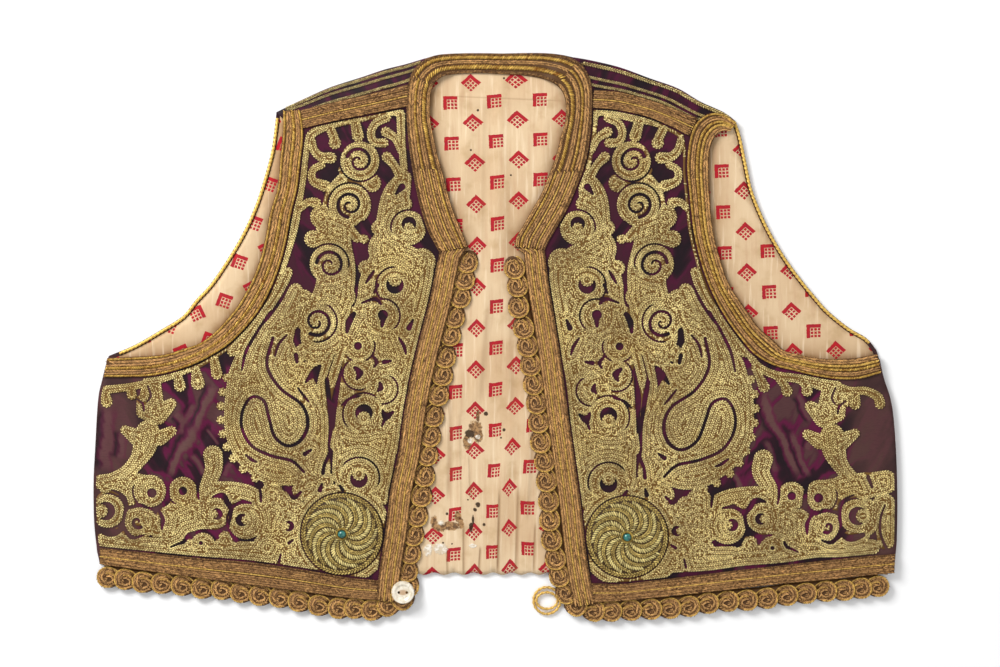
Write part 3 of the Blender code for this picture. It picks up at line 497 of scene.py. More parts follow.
def yoke_lines(shoulder, band, armhole_end, neck_end):
    """The fold and the seam of a shoulder's folded strip, with as many places on each."""
    fold = smooth_rows(shoulder, 5)
    if fold[0][0] > fold[-1][0]:
        fold = fold[::-1]
    seam_table = sorted([armhole_end, neck_end, *[((a + c) / 2, (b + d) / 2) for a, b, c, d in band]])
    seam = smooth_rows(seam_table, 4)
    at, stretch = np.linspace(0, 1, len(seam)), np.linspace(0, 1, len(fold))
    return fold, np.column_stack([np.interp(stretch, at, axis) for axis in seam.T])


def yoke_strip(fold, seam):
    """The strip of the back that folds over a shoulder, with a round fold at its outer edge."""
    thick = FRONT_TOP - BACK_TOP / 2
    turns = np.linspace(math.pi / 2, -math.pi / 2, 7)
    sections = []
    for edge, inner in zip(fold, seam):
        edge = np.array(place(*edge))
        inner = np.array(place(*inner))
        away = (edge - inner) / np.linalg.norm(edge - inner)
        round_edge = [(*(edge + away * (math.cos(turn) - 1) * thick * 0.3), thick / 2 + BACK_TOP / 4 + 0.0003
                       + math.sin(turn) * thick * 0.47) for turn in turns]
        inner_top = (*inner, FRONT_TOP - SINK)
        inner_low = (*inner, FRONT_BOTTOM + SINK)
        fold_low = (*(edge - away * thick * 0.5), FRONT_BOTTOM - 0.0010)
        sections.append([inner_top, *round_edge, fold_low, inner_low])
    return loft(sections)


silk_finish = finish("shot silk", {"Specular IOR Level": 0.22}, silk)
_, back_vertices, back_faces = cloth_shell(
    silhouette(BACK_HEM), BACK_SPACING,
    lambda spots: np.full(len(spots), BACK_TOP), lambda spots: np.zeros(len(spots)))
yokes = {"left": yoke_lines(LEFT_SHOULDER, LEFT_SHOULDER_BAND, *YOKE_ENDS["left"]),
         "right": yoke_lines(RIGHT_SHOULDER, RIGHT_SHOULDER_BAND, *YOKE_ENDS["right"])}
yoke_strips = [yoke_strip(*lines) for lines in yokes.values()]
back = new_piece("back_silk", *add_shells((back_vertices, back_faces), *yoke_strips), silk_finish)
set_faces_outwards(back)
back.data.set_sharp_from_angle(angle=math.radians(50))
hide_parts("back")


# ---------------------------------------------------------------- lining
# Cream cotton printed with small red squares, some of them set on their points.
# It shows in the neck, the front opening and the armholes; its hem is puckered by its running stitch.
LINING_BOTTOM = 0.0015
LINING_TOP = 0.0025
LINING_INSET = 4.3              # grid steps from the garment's edge to the lining's
LINING_HEM = 574
LINING_SPACING = 5
SIDE_END = 22                   # how far above the hem the side edges' own line ends
RIM_STEPS = 3                   # width of a cloth's rounded edge
PUCKER_PITCH = 18.5
PUCKER_DEPTH = 1.3
PUCKER_DRIFT = 1.1
# Soft creases: height in millimetres, then rows of right, down, half width.
LINING_CREASES = (
    (0.7, ((501, 84, 3), (500, 150, 5), (497, 240, 6), (499, 290, 4))),
    (0.7, ((489, 250, 3), (484, 320, 6), (476, 380, 5), (474, 402, 3))),
    (0.6, ((461, 372, 3), (458, 400, 6), (457, 425, 3))),
    (0.7, ((512, 425, 3), (503, 480, 7), (497, 530, 6), (495, 560, 3))),
    (0.5, ((468, 470, 3), (462, 500, 5), (460, 530, 3))),
    (0.45, ((436, 98, 2), (480, 100, 3), (530, 98, 3), (565, 104, 2))),
    (-0.5, ((452, 250, 3), (446, 330, 5), (440, 420, 5))),
    (0.4, ((520, 300, 3), (524, 380, 5), (527, 470, 3))),
    (-0.4, ((507, 200, 3), (512, 300, 6), (514, 400, 4))),
    (0.5, ((470, 120, 3), (462, 200, 5), (470, 260, 3))),
    (0.5, ((545, 120, 3), (540, 190, 5), (522, 250, 3)))
)
PRINT_MIDDLE = (496, 141)
PRINT_ACROSS = (43, -2.3)       # grid steps from one square of the print to the next, across the cloth
PRINT_DOWN = (-0.5, 40.7)       # and down it
# Where the lining shows in an armhole, the print sits turned: middle, across and down.
ARMHOLE_PRINTS = ((-1, 330, (269, 184), (40, 14), (-15, 39)),
                  (1, 640, (722, 171), (43, -2), (1.5, 41)))
PRINT_SIZE = 0.335              # a motif's side as a share of its repeat
BAR_WIDTH = 0.26                # a motif's bars, and its dots' pitch and half side, as shares of the motif
DOT_PITCH = 0.2467
DOT_REACH = 0.36                # of the pitch
# How far the cloth's own folds move the print right and down, at these columns for each row.
DRIFT_RIGHT = (450, 474, 495, 513, 530)
PRINT_DRIFT = ((80, (-4, -5, -3, -3.5, 0), (0, 2, 1, 0.5, 2)),
               (160, (-1, 0.5, 1.5, 1.5, 2), (0, 0, 0, -1, 0)),
               (240, (5, 4, 3, 2, 2), (1, 2, 2, 0, 0)),
               (320, (6, 4.5, 2.5, 1.5, 1), (3, 3, 3, 2, 2)),
               (400, (6, 4, 2.5, 1.5, 0), (5, 4, 5, 2, 2)),
               (450, (8, 3.5, 4, -2.5, -4), (6, 3, 4.5, 1.5, 2)),
               (500, (8, 3, 1, -7, -7), (5.5, 3, 4.5, 1.5, 3.5)),
               (560, (5.5, 5.5, 0, -3, -7), (4.5, 3.5, 4.5, 0.5, 4)))
# Wear: columns right, down, half width, half height.
LINING_HOLES = ((470, 434, 4.6, 4), (473, 520, 1.3, 5), (471, 527, 2, 5))
LINING_TEARS = (
    (475, 427, 6.5, 5.5), (478, 435, 4.5, 8), (467, 443, 4, 7), (478, 416, 1.8, 6), (434, 523, 3.5, 6.5),
    (441, 528, 7.5, 3.5), (452, 526, 8, 4.5), (458, 517, 3.5, 6), (461, 524, 3, 5)
)
LINING_WADDING = (
    (440, 549, 7, 5.5), (428, 550, 4, 6), (470, 441, 2.6, 2.2), (478, 437, 2.6, 2.2), (441, 523, 2.6, 2.4),
    (473, 546, 3.5, 2)
)
LINING_SPOTS = (
    (478, 110, 1.2), (471, 150, 1), (511, 175, 1), (496, 181, 0.8), (486, 414, 2), (478, 505, 2.4),
    (475, 510, 1.7), (484, 525, 1.5), (504, 78, 1), (447, 514, 1.3), (504, 430, 1.5), (501, 438, 1),
    (468, 500, 0.8), (452, 544, 0.9), (443, 543, 1)
)
# Fold lines of the lining, shaded on their right: right and down of the upper end, then of the lower,
# half width of the shading and its strength.
LINING_FOLDS = (
    (468, 452, 470, 500, 3, 0.35), (499, 484, 497, 575, 3.5, 0.7), (463, 520, 463, 575, 3.2, 0.6),
    (480, 545, 478, 575, 3, 0.65), (446, 545, 447, 575, 3, 0.5), (518, 480, 515, 575, 4, 0.5),
    (535, 520, 533, 572, 3.4, 0.5), (450, 390, 447, 500, 7, 0.3), (487, 300, 480, 400, 8, 0.22),
    (507, 150, 512, 420, 9, 0.2), (459, 405, 461, 520, 3, 0.25), (440, 96, 560, 101, 2, 0.3),
    (484, 90, 482, 240, 6, 0.15), (532, 440, 527, 520, 5, 0.35)
)


def ridge_height(spots, creases):
    """Height that soft creases add at each spot, in metres."""
    height = np.zeros(len(spots))
    for rise, rows in creases:
        line = smooth_rows(rows, 6)
        reach = np.full(len(spots), 9.0)
        for start, end in zip(line, line[1:]):
            width = max((start[2] + end[2]) / 2, 0.5)
            away = stroke_field(*spots.T, (*start[:2], 0), (*end[:2], 0)) / width
            reach = np.minimum(reach, np.maximum(away, 0))
        height += rise * 0.001 * np.exp(-reach ** 2)
    return height


def lattice(spots, middle, across, down):
    """Places on the print's own repeat, as shares of it."""
    turned = np.linalg.inv(np.array([across, down]).T)
    return (spots - np.array(middle)) @ turned.T


def print_drift(spots):
    """How far the folds of the lining have moved the print at each spot."""
    rows = np.array([row[0] for row in PRINT_DRIFT], float)
    after = np.clip(np.searchsorted(rows, spots[:, 1]), 1, len(rows) - 1)
    share = np.clip((spots[:, 1] - rows[after - 1]) / (rows[after] - rows[after - 1]), 0, 1)
    drift = []
    for axis in (1, 2):
        across = np.array([np.interp(spots[:, 0], DRIFT_RIGHT, row[axis]) for row in PRINT_DRIFT])
        here = np.arange(len(spots))
        drift.append(across[after - 1, here] * (1 - share) + across[after, here] * share)
    return np.column_stack(drift)


def print_places(spots):
    places = lattice(spots - print_drift(spots), PRINT_MIDDLE, PRINT_ACROSS, PRINT_DOWN)
    for side, limit, middle, across, down in ARMHOLE_PRINTS:
        there = (spots[:, 0] - limit) * side > 0
        places[there] = lattice(spots[there], middle, across, down)
    return places


def print_square(across, down):
    """Red where one motif of the print is: a thick bar along two sides and nine dots between them."""
    p = across / PRINT_SIZE + 0.5
    q = down / PRINT_SIZE + 0.5
    inside = abs(p - 0.5).larger(abs(q - 0.5)) < 0.5
    bar = p.smaller(q) < BAR_WIDTH
    away = [abs(((side - BAR_WIDTH) / DOT_PITCH).part() - 0.5) for side in (p, q)]
    return inside * bar.larger(away[0].larger(away[1]) < DOT_REACH)


def fold_shade(x, y):
    """How deep the shading is along the lining's fold lines."""
    shade = None
    for *row, strength in LINING_FOLDS:
        away, along = beside_fold(x, y, row)
        here = away.step(-0.4, 0.1) * away.step(1.0, 0.0) * along * strength
        shade = here if shade is None else shade.larger(here)
    return shade


def spots_mask(flow, x, y, rows, soft=0.35):
    """1 on the worn places of a table, with ragged edges."""
    ragged = flow.noise(flow.places(), 600.0, 4.0) * 2.4 - 1.2
    mask = None
    for right, down, *halves in rows:
        middle = place(right, down)
        away = flow.math("POWER", abs((x - middle[0]) / (halves[0] * GRID_STEP)), 2.0)
        away = away + flow.math("POWER", abs((y - middle[1]) / (halves[-1] * GRID_STEP)), 2.0) + ragged
        here = away.step(1.0 + soft, 1.0 - soft)
        mask = here if mask is None else mask.larger(here)
    return mask


def printed_cotton(flow):
    spot = flow.places()
    x, y = spot.right_and_up()
    u, v = flow.node("ShaderNodeUVMap", {"uv_map": "print"}).right_and_up()
    wobble = (flow.noise(spot, 700.0, 2.0) - 0.5) * 0.03
    across = (u + 0.5).part() - 0.5 + wobble
    down = (v + 0.5).part() - 0.5 + wobble
    square = print_square(across, down)
    across = u.part() - 0.5 + wobble
    down = v.part() - 0.5 + wobble
    diamond = print_square((across + down) * 0.7071, (down - across) * 0.7071)
    red = square.larger(diamond)
    cloud = flow.noise(spot, 18.0, 4.0)
    mottle = flow.noise(spot, 90.0, 4.0)
    cream = cloud.step(0.35, 0.65).blend(dye(220, 193, 156), dye(206, 174, 136))
    cream = (mottle.step(0.5, 0.75) * 0.5).blend(cream, dye(180, 148, 104))
    # Painted shadow that the fronts cast on the lining near their edges, broken up by the mottle.
    edge = flow.attribute("edge")
    cream = (edge * (0.5 + mottle * 0.6)).clamped().blend(cream, dye(136, 94, 50))
    ink = flow.noise(spot, 420.0, 2.0).step(0.3, 0.8).blend(dye(176, 4, 28), dye(150, 10, 42))
    streak = flow.noise(spot.stretched(420.0, 30.0, 1.0), 1.0, 3.0)
    cream = (streak.step(0.52, 0.7) * 0.3).blend(cream, dye(190, 148, 116))
    cream = (streak.step(0.46, 0.3) * 0.4).blend(cream, dye(244, 222, 190))
    colour = (red * 0.97).blend(cream, ink)
    folds = fold_shade(x, y)
    colour = folds.blend(colour, dye(118, 78, 40))
    stain = spots_mask(flow, x, y, LINING_TEARS)
    lint = flow.noise(spot, 520.0, 4.0, 0.6)
    frayed = lint.step(0.4, 0.62).blend(dye(84, 52, 26), dye(172, 132, 88))
    colour = (stain * (0.8 + lint * 0.3)).clamped().blend(colour, frayed)
    wadding = spots_mask(flow, x, y, LINING_WADDING)
    tuft = lint.step(0.4, 0.6).blend(dye(204, 190, 168), dye(240, 234, 222))
    colour = (wadding * (0.3 + lint)).clamped().blend(colour, tuft)
    # Holes and small spots worn in the lining, painted dark brown: painted shade inside the holes.
    hole = spots_mask(flow, x, y, LINING_HOLES).larger(spots_mask(flow, x, y, LINING_SPOTS, 0.5))
    colour = (hole * 0.95).blend(colour, dye(52, 34, 20))
    weave = flow.node("ShaderNodeTexWave", {"bands_direction": "X"}, {"Vector": spot, "Scale": 700.0})
    weft = flow.node("ShaderNodeTexWave", {"bands_direction": "Y"}, {"Vector": spot, "Scale": 700.0})
    crumple = flow.noise(spot, 60.0, 5.0, 0.6)
    height = weave * 0.1 + weft * 0.1 + crumple - hole * 0.8 - stain * 0.4
    height = height - folds * 0.6 + wadding * lint * 1.4
    return {"Base Color": colour, "Normal": flow.bump(height, 0.5, 0.0008)}


cotton_finish = finish("printed cotton", {"Roughness": 0.85, "Specular IOR Level": 0.2}, printed_cotton)
hem_steps = np.arange(LEFT_SIDE[-1][0], RIGHT_SIDE[-1][0] + 1, 3)
pucker = PUCKER_DEPTH * np.cos(2 * math.pi * hem_steps / PUCKER_PITCH + PUCKER_DRIFT * np.sin(hem_steps / 47))
lining_hem = np.column_stack([hem_steps, LINING_HEM + pucker])
lining_outline = silhouette(BACK_HEM)
lining_turn = np.roll(lining_outline, -1, axis=0) - np.roll(lining_outline, 1, axis=0)
lining_turn /= np.linalg.norm(lining_turn, axis=1)[:, None]
lining_inner = lining_outline + LINING_INSET * np.stack([-lining_turn[:, 1], lining_turn[:, 0]], axis=1)
lining_inner = lining_inner[lining_outline[:, 1] < LINING_HEM - SIDE_END]
hem_start = int(np.argmax(np.linalg.norm(np.roll(lining_inner, -1, axis=0) - lining_inner, axis=1)))
lining_inner = np.roll(lining_inner, -hem_start - 1, axis=0)
between = (lining_hem[:, 0] > lining_inner[0][0] + 2) & (lining_hem[:, 0] < lining_inner[-1][0] - 2)
hem_line = lining_hem[between]
hem_line = hem_line[::-1] if lining_inner[-1][0] > lining_inner[0][0] else hem_line
lining_cut = join_lines(lining_inner, hem_line)


def lining_heights(spots):
    edge = np.clip(-outline_field(*spots.T, lining_cut) / RIM_STEPS, 0, 1)
    return LINING_TOP - 0.0004 * (1 - edge) ** 2 + ridge_height(spots, LINING_CREASES)


lining_spots, lining_vertices, lining_faces = cloth_shell(
    lining_cut, LINING_SPACING, lining_heights, lambda spots: np.full(len(spots), LINING_BOTTOM))
lining = new_piece("lining_cotton", lining_vertices, lining_faces, cotton_finish)
set_faces_outwards(lining)
print_map = lining.data.uv_layers.new(name="print")
corner_vertices = np.zeros(len(lining.data.loops), np.int32)
lining.data.loops.foreach_get("vertex_index", corner_vertices)
print_map.data.foreach_set("uv", print_places(np.tile(lining_spots, (2, 1)))[corner_vertices].ravel())
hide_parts("back_lining")


# ---------------------------------------------------------------- fronts
# Two panels of the same shot silk, which show between the motifs of the embroidery.
# They lie on the lining, are turned down over its side edges, and crease where the ground is open.
NECK_BAND = (
    (439, 252, 468, 247), (433, 241, 464, 237), (427, 229, 460, 228), (421, 210, 453, 210),
    (417, 194, 448, 194), (413, 173, 443, 174), (410, 152, 437, 153), (408, 134, 433, 134),
    (407, 118, 430, 118), (407, 101, 430, 102), (409, 83, 431, 92), (413, 71, 435, 83), (423, 61, 442, 77),
    (436, 55.5, 449, 75), (455, 53.5, 461, 73.5), (480, 53.2, 481, 73), (505, 53.5, 502, 74),
    (530, 53, 522, 75), (551, 53.5, 540, 78), (570, 57.5, 553, 83), (582, 65, 561, 90), (590, 79, 565, 99),
    (592, 92, 566, 110), (592, 108, 565, 121), (591, 128, 561, 136), (588, 151, 556, 155),
    (583, 171, 550, 172), (575, 192, 542, 192), (567, 210, 532, 210), (556, 229, 521, 229),
    (549, 241, 516, 238), (545, 250, 515, 247)
)
LEFT_ARMHOLE_BAND = (
    (300, 110, 283, 111), (303, 127, 283, 127), (303, 142, 282, 142), (301, 158, 280, 158),
    (299, 175, 279, 174), (297, 190, 277, 190), (291, 215, 270, 212), (287, 238, 266, 234),
    (281, 262, 261, 256), (273, 284, 252, 280), (262, 306, 240, 302), (247, 326, 228, 318),
    (230, 343, 214, 333), (212, 355, 200, 343), (192, 365, 183, 349), (170, 372, 166, 354),
    (150, 376, 149, 356), (127, 377, 128, 357), (104, 377, 107.5, 358)
)
RIGHT_ARMHOLE_BAND = (
    (736, 123, 730, 131), (722, 114, 723, 131), (708, 114, 716, 136), (697, 122, 711, 145),
    (691, 134, 709, 156), (688, 150, 708.5, 168), (687, 168, 709, 182), (689, 190, 710, 198),
    (691, 210, 711, 214), (694, 234, 714, 236), (701, 263, 721, 262), (710, 288, 730, 286),
    (722, 312, 744, 307), (737, 334, 758, 327), (754, 354, 773, 340), (773, 365, 785, 351),
    (792, 370, 800, 355), (812, 375, 816, 358), (836, 379, 835, 359), (858, 379, 856, 358),
    (881, 373, 877, 354)
)
LEFT_HEM_BAND = (
    (100, 548, 100, 564), (150, 553, 150, 571), (200, 558, 200, 578), (250, 562, 250, 585),
    (300, 569, 300, 591.5), (345, 577, 345, 597.5), (375, 580, 376, 600)
)
RIGHT_HEM_BAND = (
    (592.5, 583, 596, 602), (620, 584, 622, 600.5), (650, 581, 652, 597.5), (700, 575, 702, 592.5),
    (740, 570, 742, 588), (785, 565, 787, 583), (820, 561, 822, 580), (870, 556, 871, 575),
    (895, 554, 894, 573)
)
LEFT_FRONT_EDGE = (
    (439.5, 253), (435, 275), (430, 300), (420, 339), (411, 377), (404, 416), (399, 452), (391, 489),
    (386, 530), (380, 568), (376.5, 600)
)
RIGHT_FRONT_EDGE = (
    (544.5, 251), (548, 280), (554, 317), (560, 355), (566, 400), (573, 450), (580, 500), (585, 545),
    (590, 578), (595, 603)
)
FRONT_BAND_STEPS = 21
FRONT_SPACING = 6
SEAM_STEPS = 0.5
# Where each front's shoulder seam ends, at the armhole and at the neck.
SEAM_ENDS = {"left": ((283, 124), (431, 94)), "right": ((707, 128), (566, 102))}
SHADE_REACH = 7                 # how far the painted shadow of the fronts' edges reaches over the lining, in grid steps
SIDE_TURN_STEPS = 2.2           # how far in from the side edge the silk is turned down
# Creases of the open silk: height in millimetres, then rows of right, down, half width.
LEFT_CREASES = (
    (0.6, ((214, 392, 3), (198, 425, 5), (182, 455, 4), (172, 470, 2))),
    (0.5, ((182, 402, 2), (176, 425, 4), (171, 448, 2))),
    (-0.5, ((226, 388, 3), (208, 425, 4), (190, 462, 2))),
    (0.45, ((232, 405, 2), (219, 432, 4), (205, 458, 2))),
    (-0.4, ((196, 398, 2), (187, 425, 3), (178, 450, 2))),
    (0.45, ((112, 405, 2), (108, 430, 4), (106, 460, 2))),
    (-0.4, ((122, 398, 2), (117, 430, 3), (113, 462, 2))),
    (0.35, ((99, 392, 1.5), (97, 430, 2.5), (96, 470, 1.5))),
    (0.4, ((236, 372, 2), (224, 386, 3), (205, 397, 2)))
)
RIGHT_CREASES = (
    (0.6, ((768, 405, 3), (782, 430, 5), (796, 462, 4), (800, 474, 2))),
    (0.5, ((860, 400, 2), (872, 420, 4), (878, 440, 2))),
    (-0.5, ((756, 400, 3), (770, 435, 4), (786, 470, 2))),
    (0.45, ((742, 412, 2), (754, 436, 4), (768, 462, 2))),
    (-0.4, ((780, 400, 2), (794, 428, 3), (806, 452, 2))),
    (0.45, ((868, 396, 2), (882, 430, 4), (888, 462, 2))),
    (-0.4, ((850, 402, 2), (862, 432, 3), (870, 462, 2))),
    (0.4, ((744, 378, 2), (760, 390, 3), (780, 398, 2)))
)


def front_edge(side):
    """Inner and outer lines of the band down a front edge."""
    inner = smooth_rows(LEFT_FRONT_EDGE if side == "left" else RIGHT_FRONT_EDGE, 5)
    return inner, offset_line(inner, FRONT_BAND_STEPS if side == "left" else -FRONT_BAND_STEPS)


def front_lines(side, inner):
    """A front's neck, hem, side and armhole lines: the bands' outer edges, or the inner ones for inner 1."""
    left = side == "left"
    edge = slice(0, 2) if inner else slice(2, 4)
    neck = smooth_rows(NECK_BAND[:11 - inner] if left else NECK_BAND[22 + inner:], 5)[:, edge]
    hem = smooth_rows(LEFT_HEM_BAND if left else RIGHT_HEM_BAND, 6 - inner)[:, edge]
    side_edge = smooth_rows((LEFT_SIDE if left else RIGHT_SIDE)[1 + inner:-1], 5)[::-1]
    armhole = LEFT_ARMHOLE_BAND[1 + inner:] if left else RIGHT_ARMHOLE_BAND[4 + inner:]
    way = -1 if left else 1
    return neck[::way], hem[::way], side_edge, smooth_rows(armhole, 5)[::-1, edge]


def front_outline(side):
    """A front panel's cut edge, from the shoulder seam round the neck, front, hem and side."""
    neck, hem, side_edge, armhole = front_lines(side, 0)
    band = LEFT_SHOULDER_BAND if side == "left" else RIGHT_SHOULDER_BAND[::-1]
    seam = [((a + c) / 2, (b + d) / 2 + SEAM_STEPS) for a, b, c, d in band]
    start, end = SEAM_ENDS[side]
    return join_lines([start, *seam, end], neck, front_edge(side)[1], hem, side_edge, armhole)


def side_share(spots, side):
    """1 at the panel's side edge and 0 further in."""
    line = smooth_rows(LEFT_SIDE[1:-1] if side == "left" else RIGHT_SIDE[1:-1], 12)
    edge = np.interp(spots[:, 1], line[:, 1], line[:, 0])
    away = (spots[:, 0] - edge) * (1 if side == "left" else -1)
    there = (spots[:, 1] > line[0][1]) & (spots[:, 1] < line[-1][1])
    return np.where(there, np.clip(1 - away / SIDE_TURN_STEPS, 0, 1), 0)


# Painted shadow on the lining, strongest at the fronts' edges and fading away from them.
lining_shade = np.zeros(len(lining_spots))
for side in ("left", "right"):
    cut = front_outline(side)
    creases = LEFT_CREASES if side == "left" else RIGHT_CREASES

    def front_tops(spots):
        rim = np.clip(1 + outline_field(*spots.T, cut) / RIM_STEPS, 0, 1)
        return FRONT_TOP - 0.0005 * rim ** 2 + ridge_height(spots, creases)

    def front_bottoms(spots):
        return FRONT_BOTTOM - (FRONT_BOTTOM - LINING_BOTTOM) * (side_share(spots, side) > 0.5)

    _, front_vertices, front_faces = cloth_shell(cut, FRONT_SPACING, front_tops, front_bottoms)
    away = np.clip(outline_field(*lining_spots.T, cut), 0, None)
    lining_shade = np.maximum(lining_shade, np.exp(-away / SHADE_REACH))
    front = new_piece(f"front_silk_{side}", front_vertices, front_faces, silk_finish)
    set_faces_outwards(front)
    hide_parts(f"front_{side}")
lining.data.attributes.new("edge", "FLOAT", "POINT").data.foreach_set("value", np.tile(lining_shade, 2))


# ---------------------------------------------------------------- embroidery
# Gilt cord couched down in close rows that follow the edge of each motif: scrolls, lobed leaves,
# a tulip and a paisley, with the silk left bare between them.  Each row looks plaited.
ROW_STEPS = 4.1                 # width of one couched row, in grid steps
FIELD_STEP = 1.0
STITCH_PITCH = 2.5              # grid steps from one stitch of a row to the next
PLATEAU = 0.00045               # height of the padding under the rows
STITCH_RISE = 0.00055
RIDGE_REACH = 0.27              # where a stitch's ridge ends, as a share of its length
FOOT_SHADE = 0.95               # how much darker a stitch's foot is than its ridge
# A stitch's place beside its row's middle, its length and its breadth, as shares of the row's width.
PLAIT_SHIFT = 0.215
PLAIT_LENGTH = 0.82
PLAIT_BREADTH = 0.42
PLAIT_SLANT = 0.62              # and how far it leans from the row's run, in radians
FILL_SPACING = 2.15             # nearest that two stitches of the filling lie, in grid steps
DEEPEST = 30                    # no place of a motif is further inside its edge than this
EDGE_STEPS = 1.3                # width of the padding's rounded edge, in grid steps
GAP_CROSSED = 0.35              # a face of the padding whose side lies further outside the motifs is left out
PADDING_INSET = 0.3             # how far inside a motif's edge its padding starts, in grid steps
STITCH_SINK = 0.00008           # how deep the stitches lie in the padding
PATINA = 0.35                   # how much the cord's tone changes over the front
PATINA_REACH = (17, 23)
DARKEST = -0.9                  # tone of the darkest stitch, and of the ground between the stitches
GROUND_TONE = -1.0
LOBES = (
    (344, 170, 6), (372, 183, 9.5), (355, 185, 13), (335, 143, 6.5), (364, 239, 5.2), (322, 217, 12),
    (313, 239, 9), (345, 297, 11), (325, 299, 13), (303, 300, 11), (332, 340, 15), (346, 322, 9),
    (318, 353, 14), (304, 352, 9), (308, 369, 8), (297, 318, 8), (404, 204, 8.5), (379, 228, 8),
    (388, 249, 20), (422, 262, 14), (404, 264, 20), (366, 268, 8), (410, 322, 13), (404, 345, 13),
    (357, 312, 7), (342, 440, 14), (388, 442, 15), (384, 478, 13), (112, 486, 13), (104, 500, 8),
    (168, 514, 9), (234, 499, 8), (213, 492, 10), (262, 508, 16), (272, 496, 13), (283, 503, 12),
    (270, 520, 21), (287, 527, 14), (287, 548, 14), (268, 548, 16), (303, 490, 11), (296, 508, 9),
    (384, 498, 7), (324, 480, 10), (310, 486, 10), (129, 500, 8), (157, 530, 8), (157, 519, 5),
    (203, 545, 12.5), (188, 544, 6), (322, 238, 9), (322, 228, 6), (183, 503, 12), (188, 514, 14),
    (163, 512, 6.5), (166, 526, 9), (122, 534, 5.5), (223, 541, 7), (128, 486, 11), (131, 497, 7),
    (169, 505, 6), (118, 531, 4), (236, 505, 6), (232, 522, 6), (118, 497, 7)
)
# Strokes of changing width: rows of right, down, radius.
STEMS = (
    ((404, 168, 4), (402, 145, 4), (401, 128, 4.4), (399, 112, 5), (380, 113, 5), (360, 118, 4.6),
     (340, 122, 4.6), (320, 129, 4.6), (309, 138, 4.6), (305, 155, 4.2), (303, 175, 4.2), (299, 200, 4.2),
     (295, 225, 4.2), (288, 250, 4.2), (279, 275, 4.2), (268, 297, 4), (254, 319, 4), (239, 336, 4)),
    ((312, 140, 4), (314, 150, 4.4), (321, 157, 5), (331, 158, 6)),
    ((322, 165, 4), (313, 170, 4), (313, 181, 4.4), (325, 186, 6)),
    ((301, 208, 4), (308, 202, 4), (316, 203, 5.6)),
    ((329, 126, 4.6), (334, 137, 5)),
    ((355, 121, 5), (358, 136, 6.2)),
    ((387, 118, 4.4), (376, 123, 4.4), (371, 133, 4.4), (374, 142, 4.4), (384, 143, 5)),
    ((386, 132, 5.4), (395, 138, 4.2), (401, 150, 4.2)),
    ((387, 157, 5.6), (394, 165, 4.4), (400, 176, 5)),
    ((343, 216, 5), (350, 229, 5), (357, 238, 5)),
    ((345, 178, 7), (333, 190, 6), (331, 208, 9), (337, 226, 13), (337, 246, 15), (337, 270, 19),
     (334, 292, 20), (328, 312, 22), (322, 332, 22), (320, 348, 16)),
    ((346, 332, 6), (341, 352, 5), (334, 374, 5), (328, 396, 4.6), (329, 420, 4.2)),
    ((332, 345, 6), (326, 366, 4.6), (321, 386, 4.2), (324, 404, 4)),
    ((303, 303, 6), (285, 325, 13), (271, 348, 24), (268, 375, 38), (272, 400, 47), (277, 425, 52.5),
     (283, 437, 49.5)),
    ((288, 272, 5), (277, 298, 6), (262, 320, 8), (246, 340, 8), (232, 352, 5)),
    ((296, 290, 7), (286, 306, 9), (270, 326, 10), (254, 345, 9)),
    ((318, 440, 11), (317, 468, 14)),
    ((404, 178, 8), (396, 196, 14), (390, 216, 13), (388, 240, 14)),
    ((391, 262, 22), (389, 285, 30), (388, 305, 32), (380, 340, 35), (374, 380, 33), (368, 425, 33),
     (362, 470, 30)),
    ((425, 270, 9), (424, 285, 9), (420, 303, 10), (414, 325, 10), (407, 350, 10), (401, 375, 9),
     (396, 400, 9), (391, 430, 9), (386, 460, 9), (380, 490, 9)),
    ((97, 482, 7), (112, 482, 9), (130, 482, 10), (146, 489, 14)),
    ((102, 541, 8), (130, 543, 8), (160, 546, 8), (190, 549, 9), (230, 551, 10), (262, 554, 12),
     (292, 558, 10)),
    ((213, 455, 10), (214, 468, 9), (208, 485, 8), (204, 500, 9), (196, 513, 16), (180, 520, 15),
     (172, 535, 12)),
    ((196, 513, 16), (215, 514, 16)),
    ((210, 490, 8), (228, 489, 8), (246, 492, 8), (258, 498, 8)),
    ((148, 432, 12), (145, 446, 12), (138, 460, 8.5), (126, 473, 7.5), (108, 481, 6.5)),
    ((125, 430, 5), (138, 438, 9)),
    ((172, 431, 5.4), (160, 438, 8)),
    ((152, 380, 9), (151, 408, 14)),
    ((141, 400, 5), (143, 412, 7)),
    ((171, 404, 6), (158, 415, 10))
)
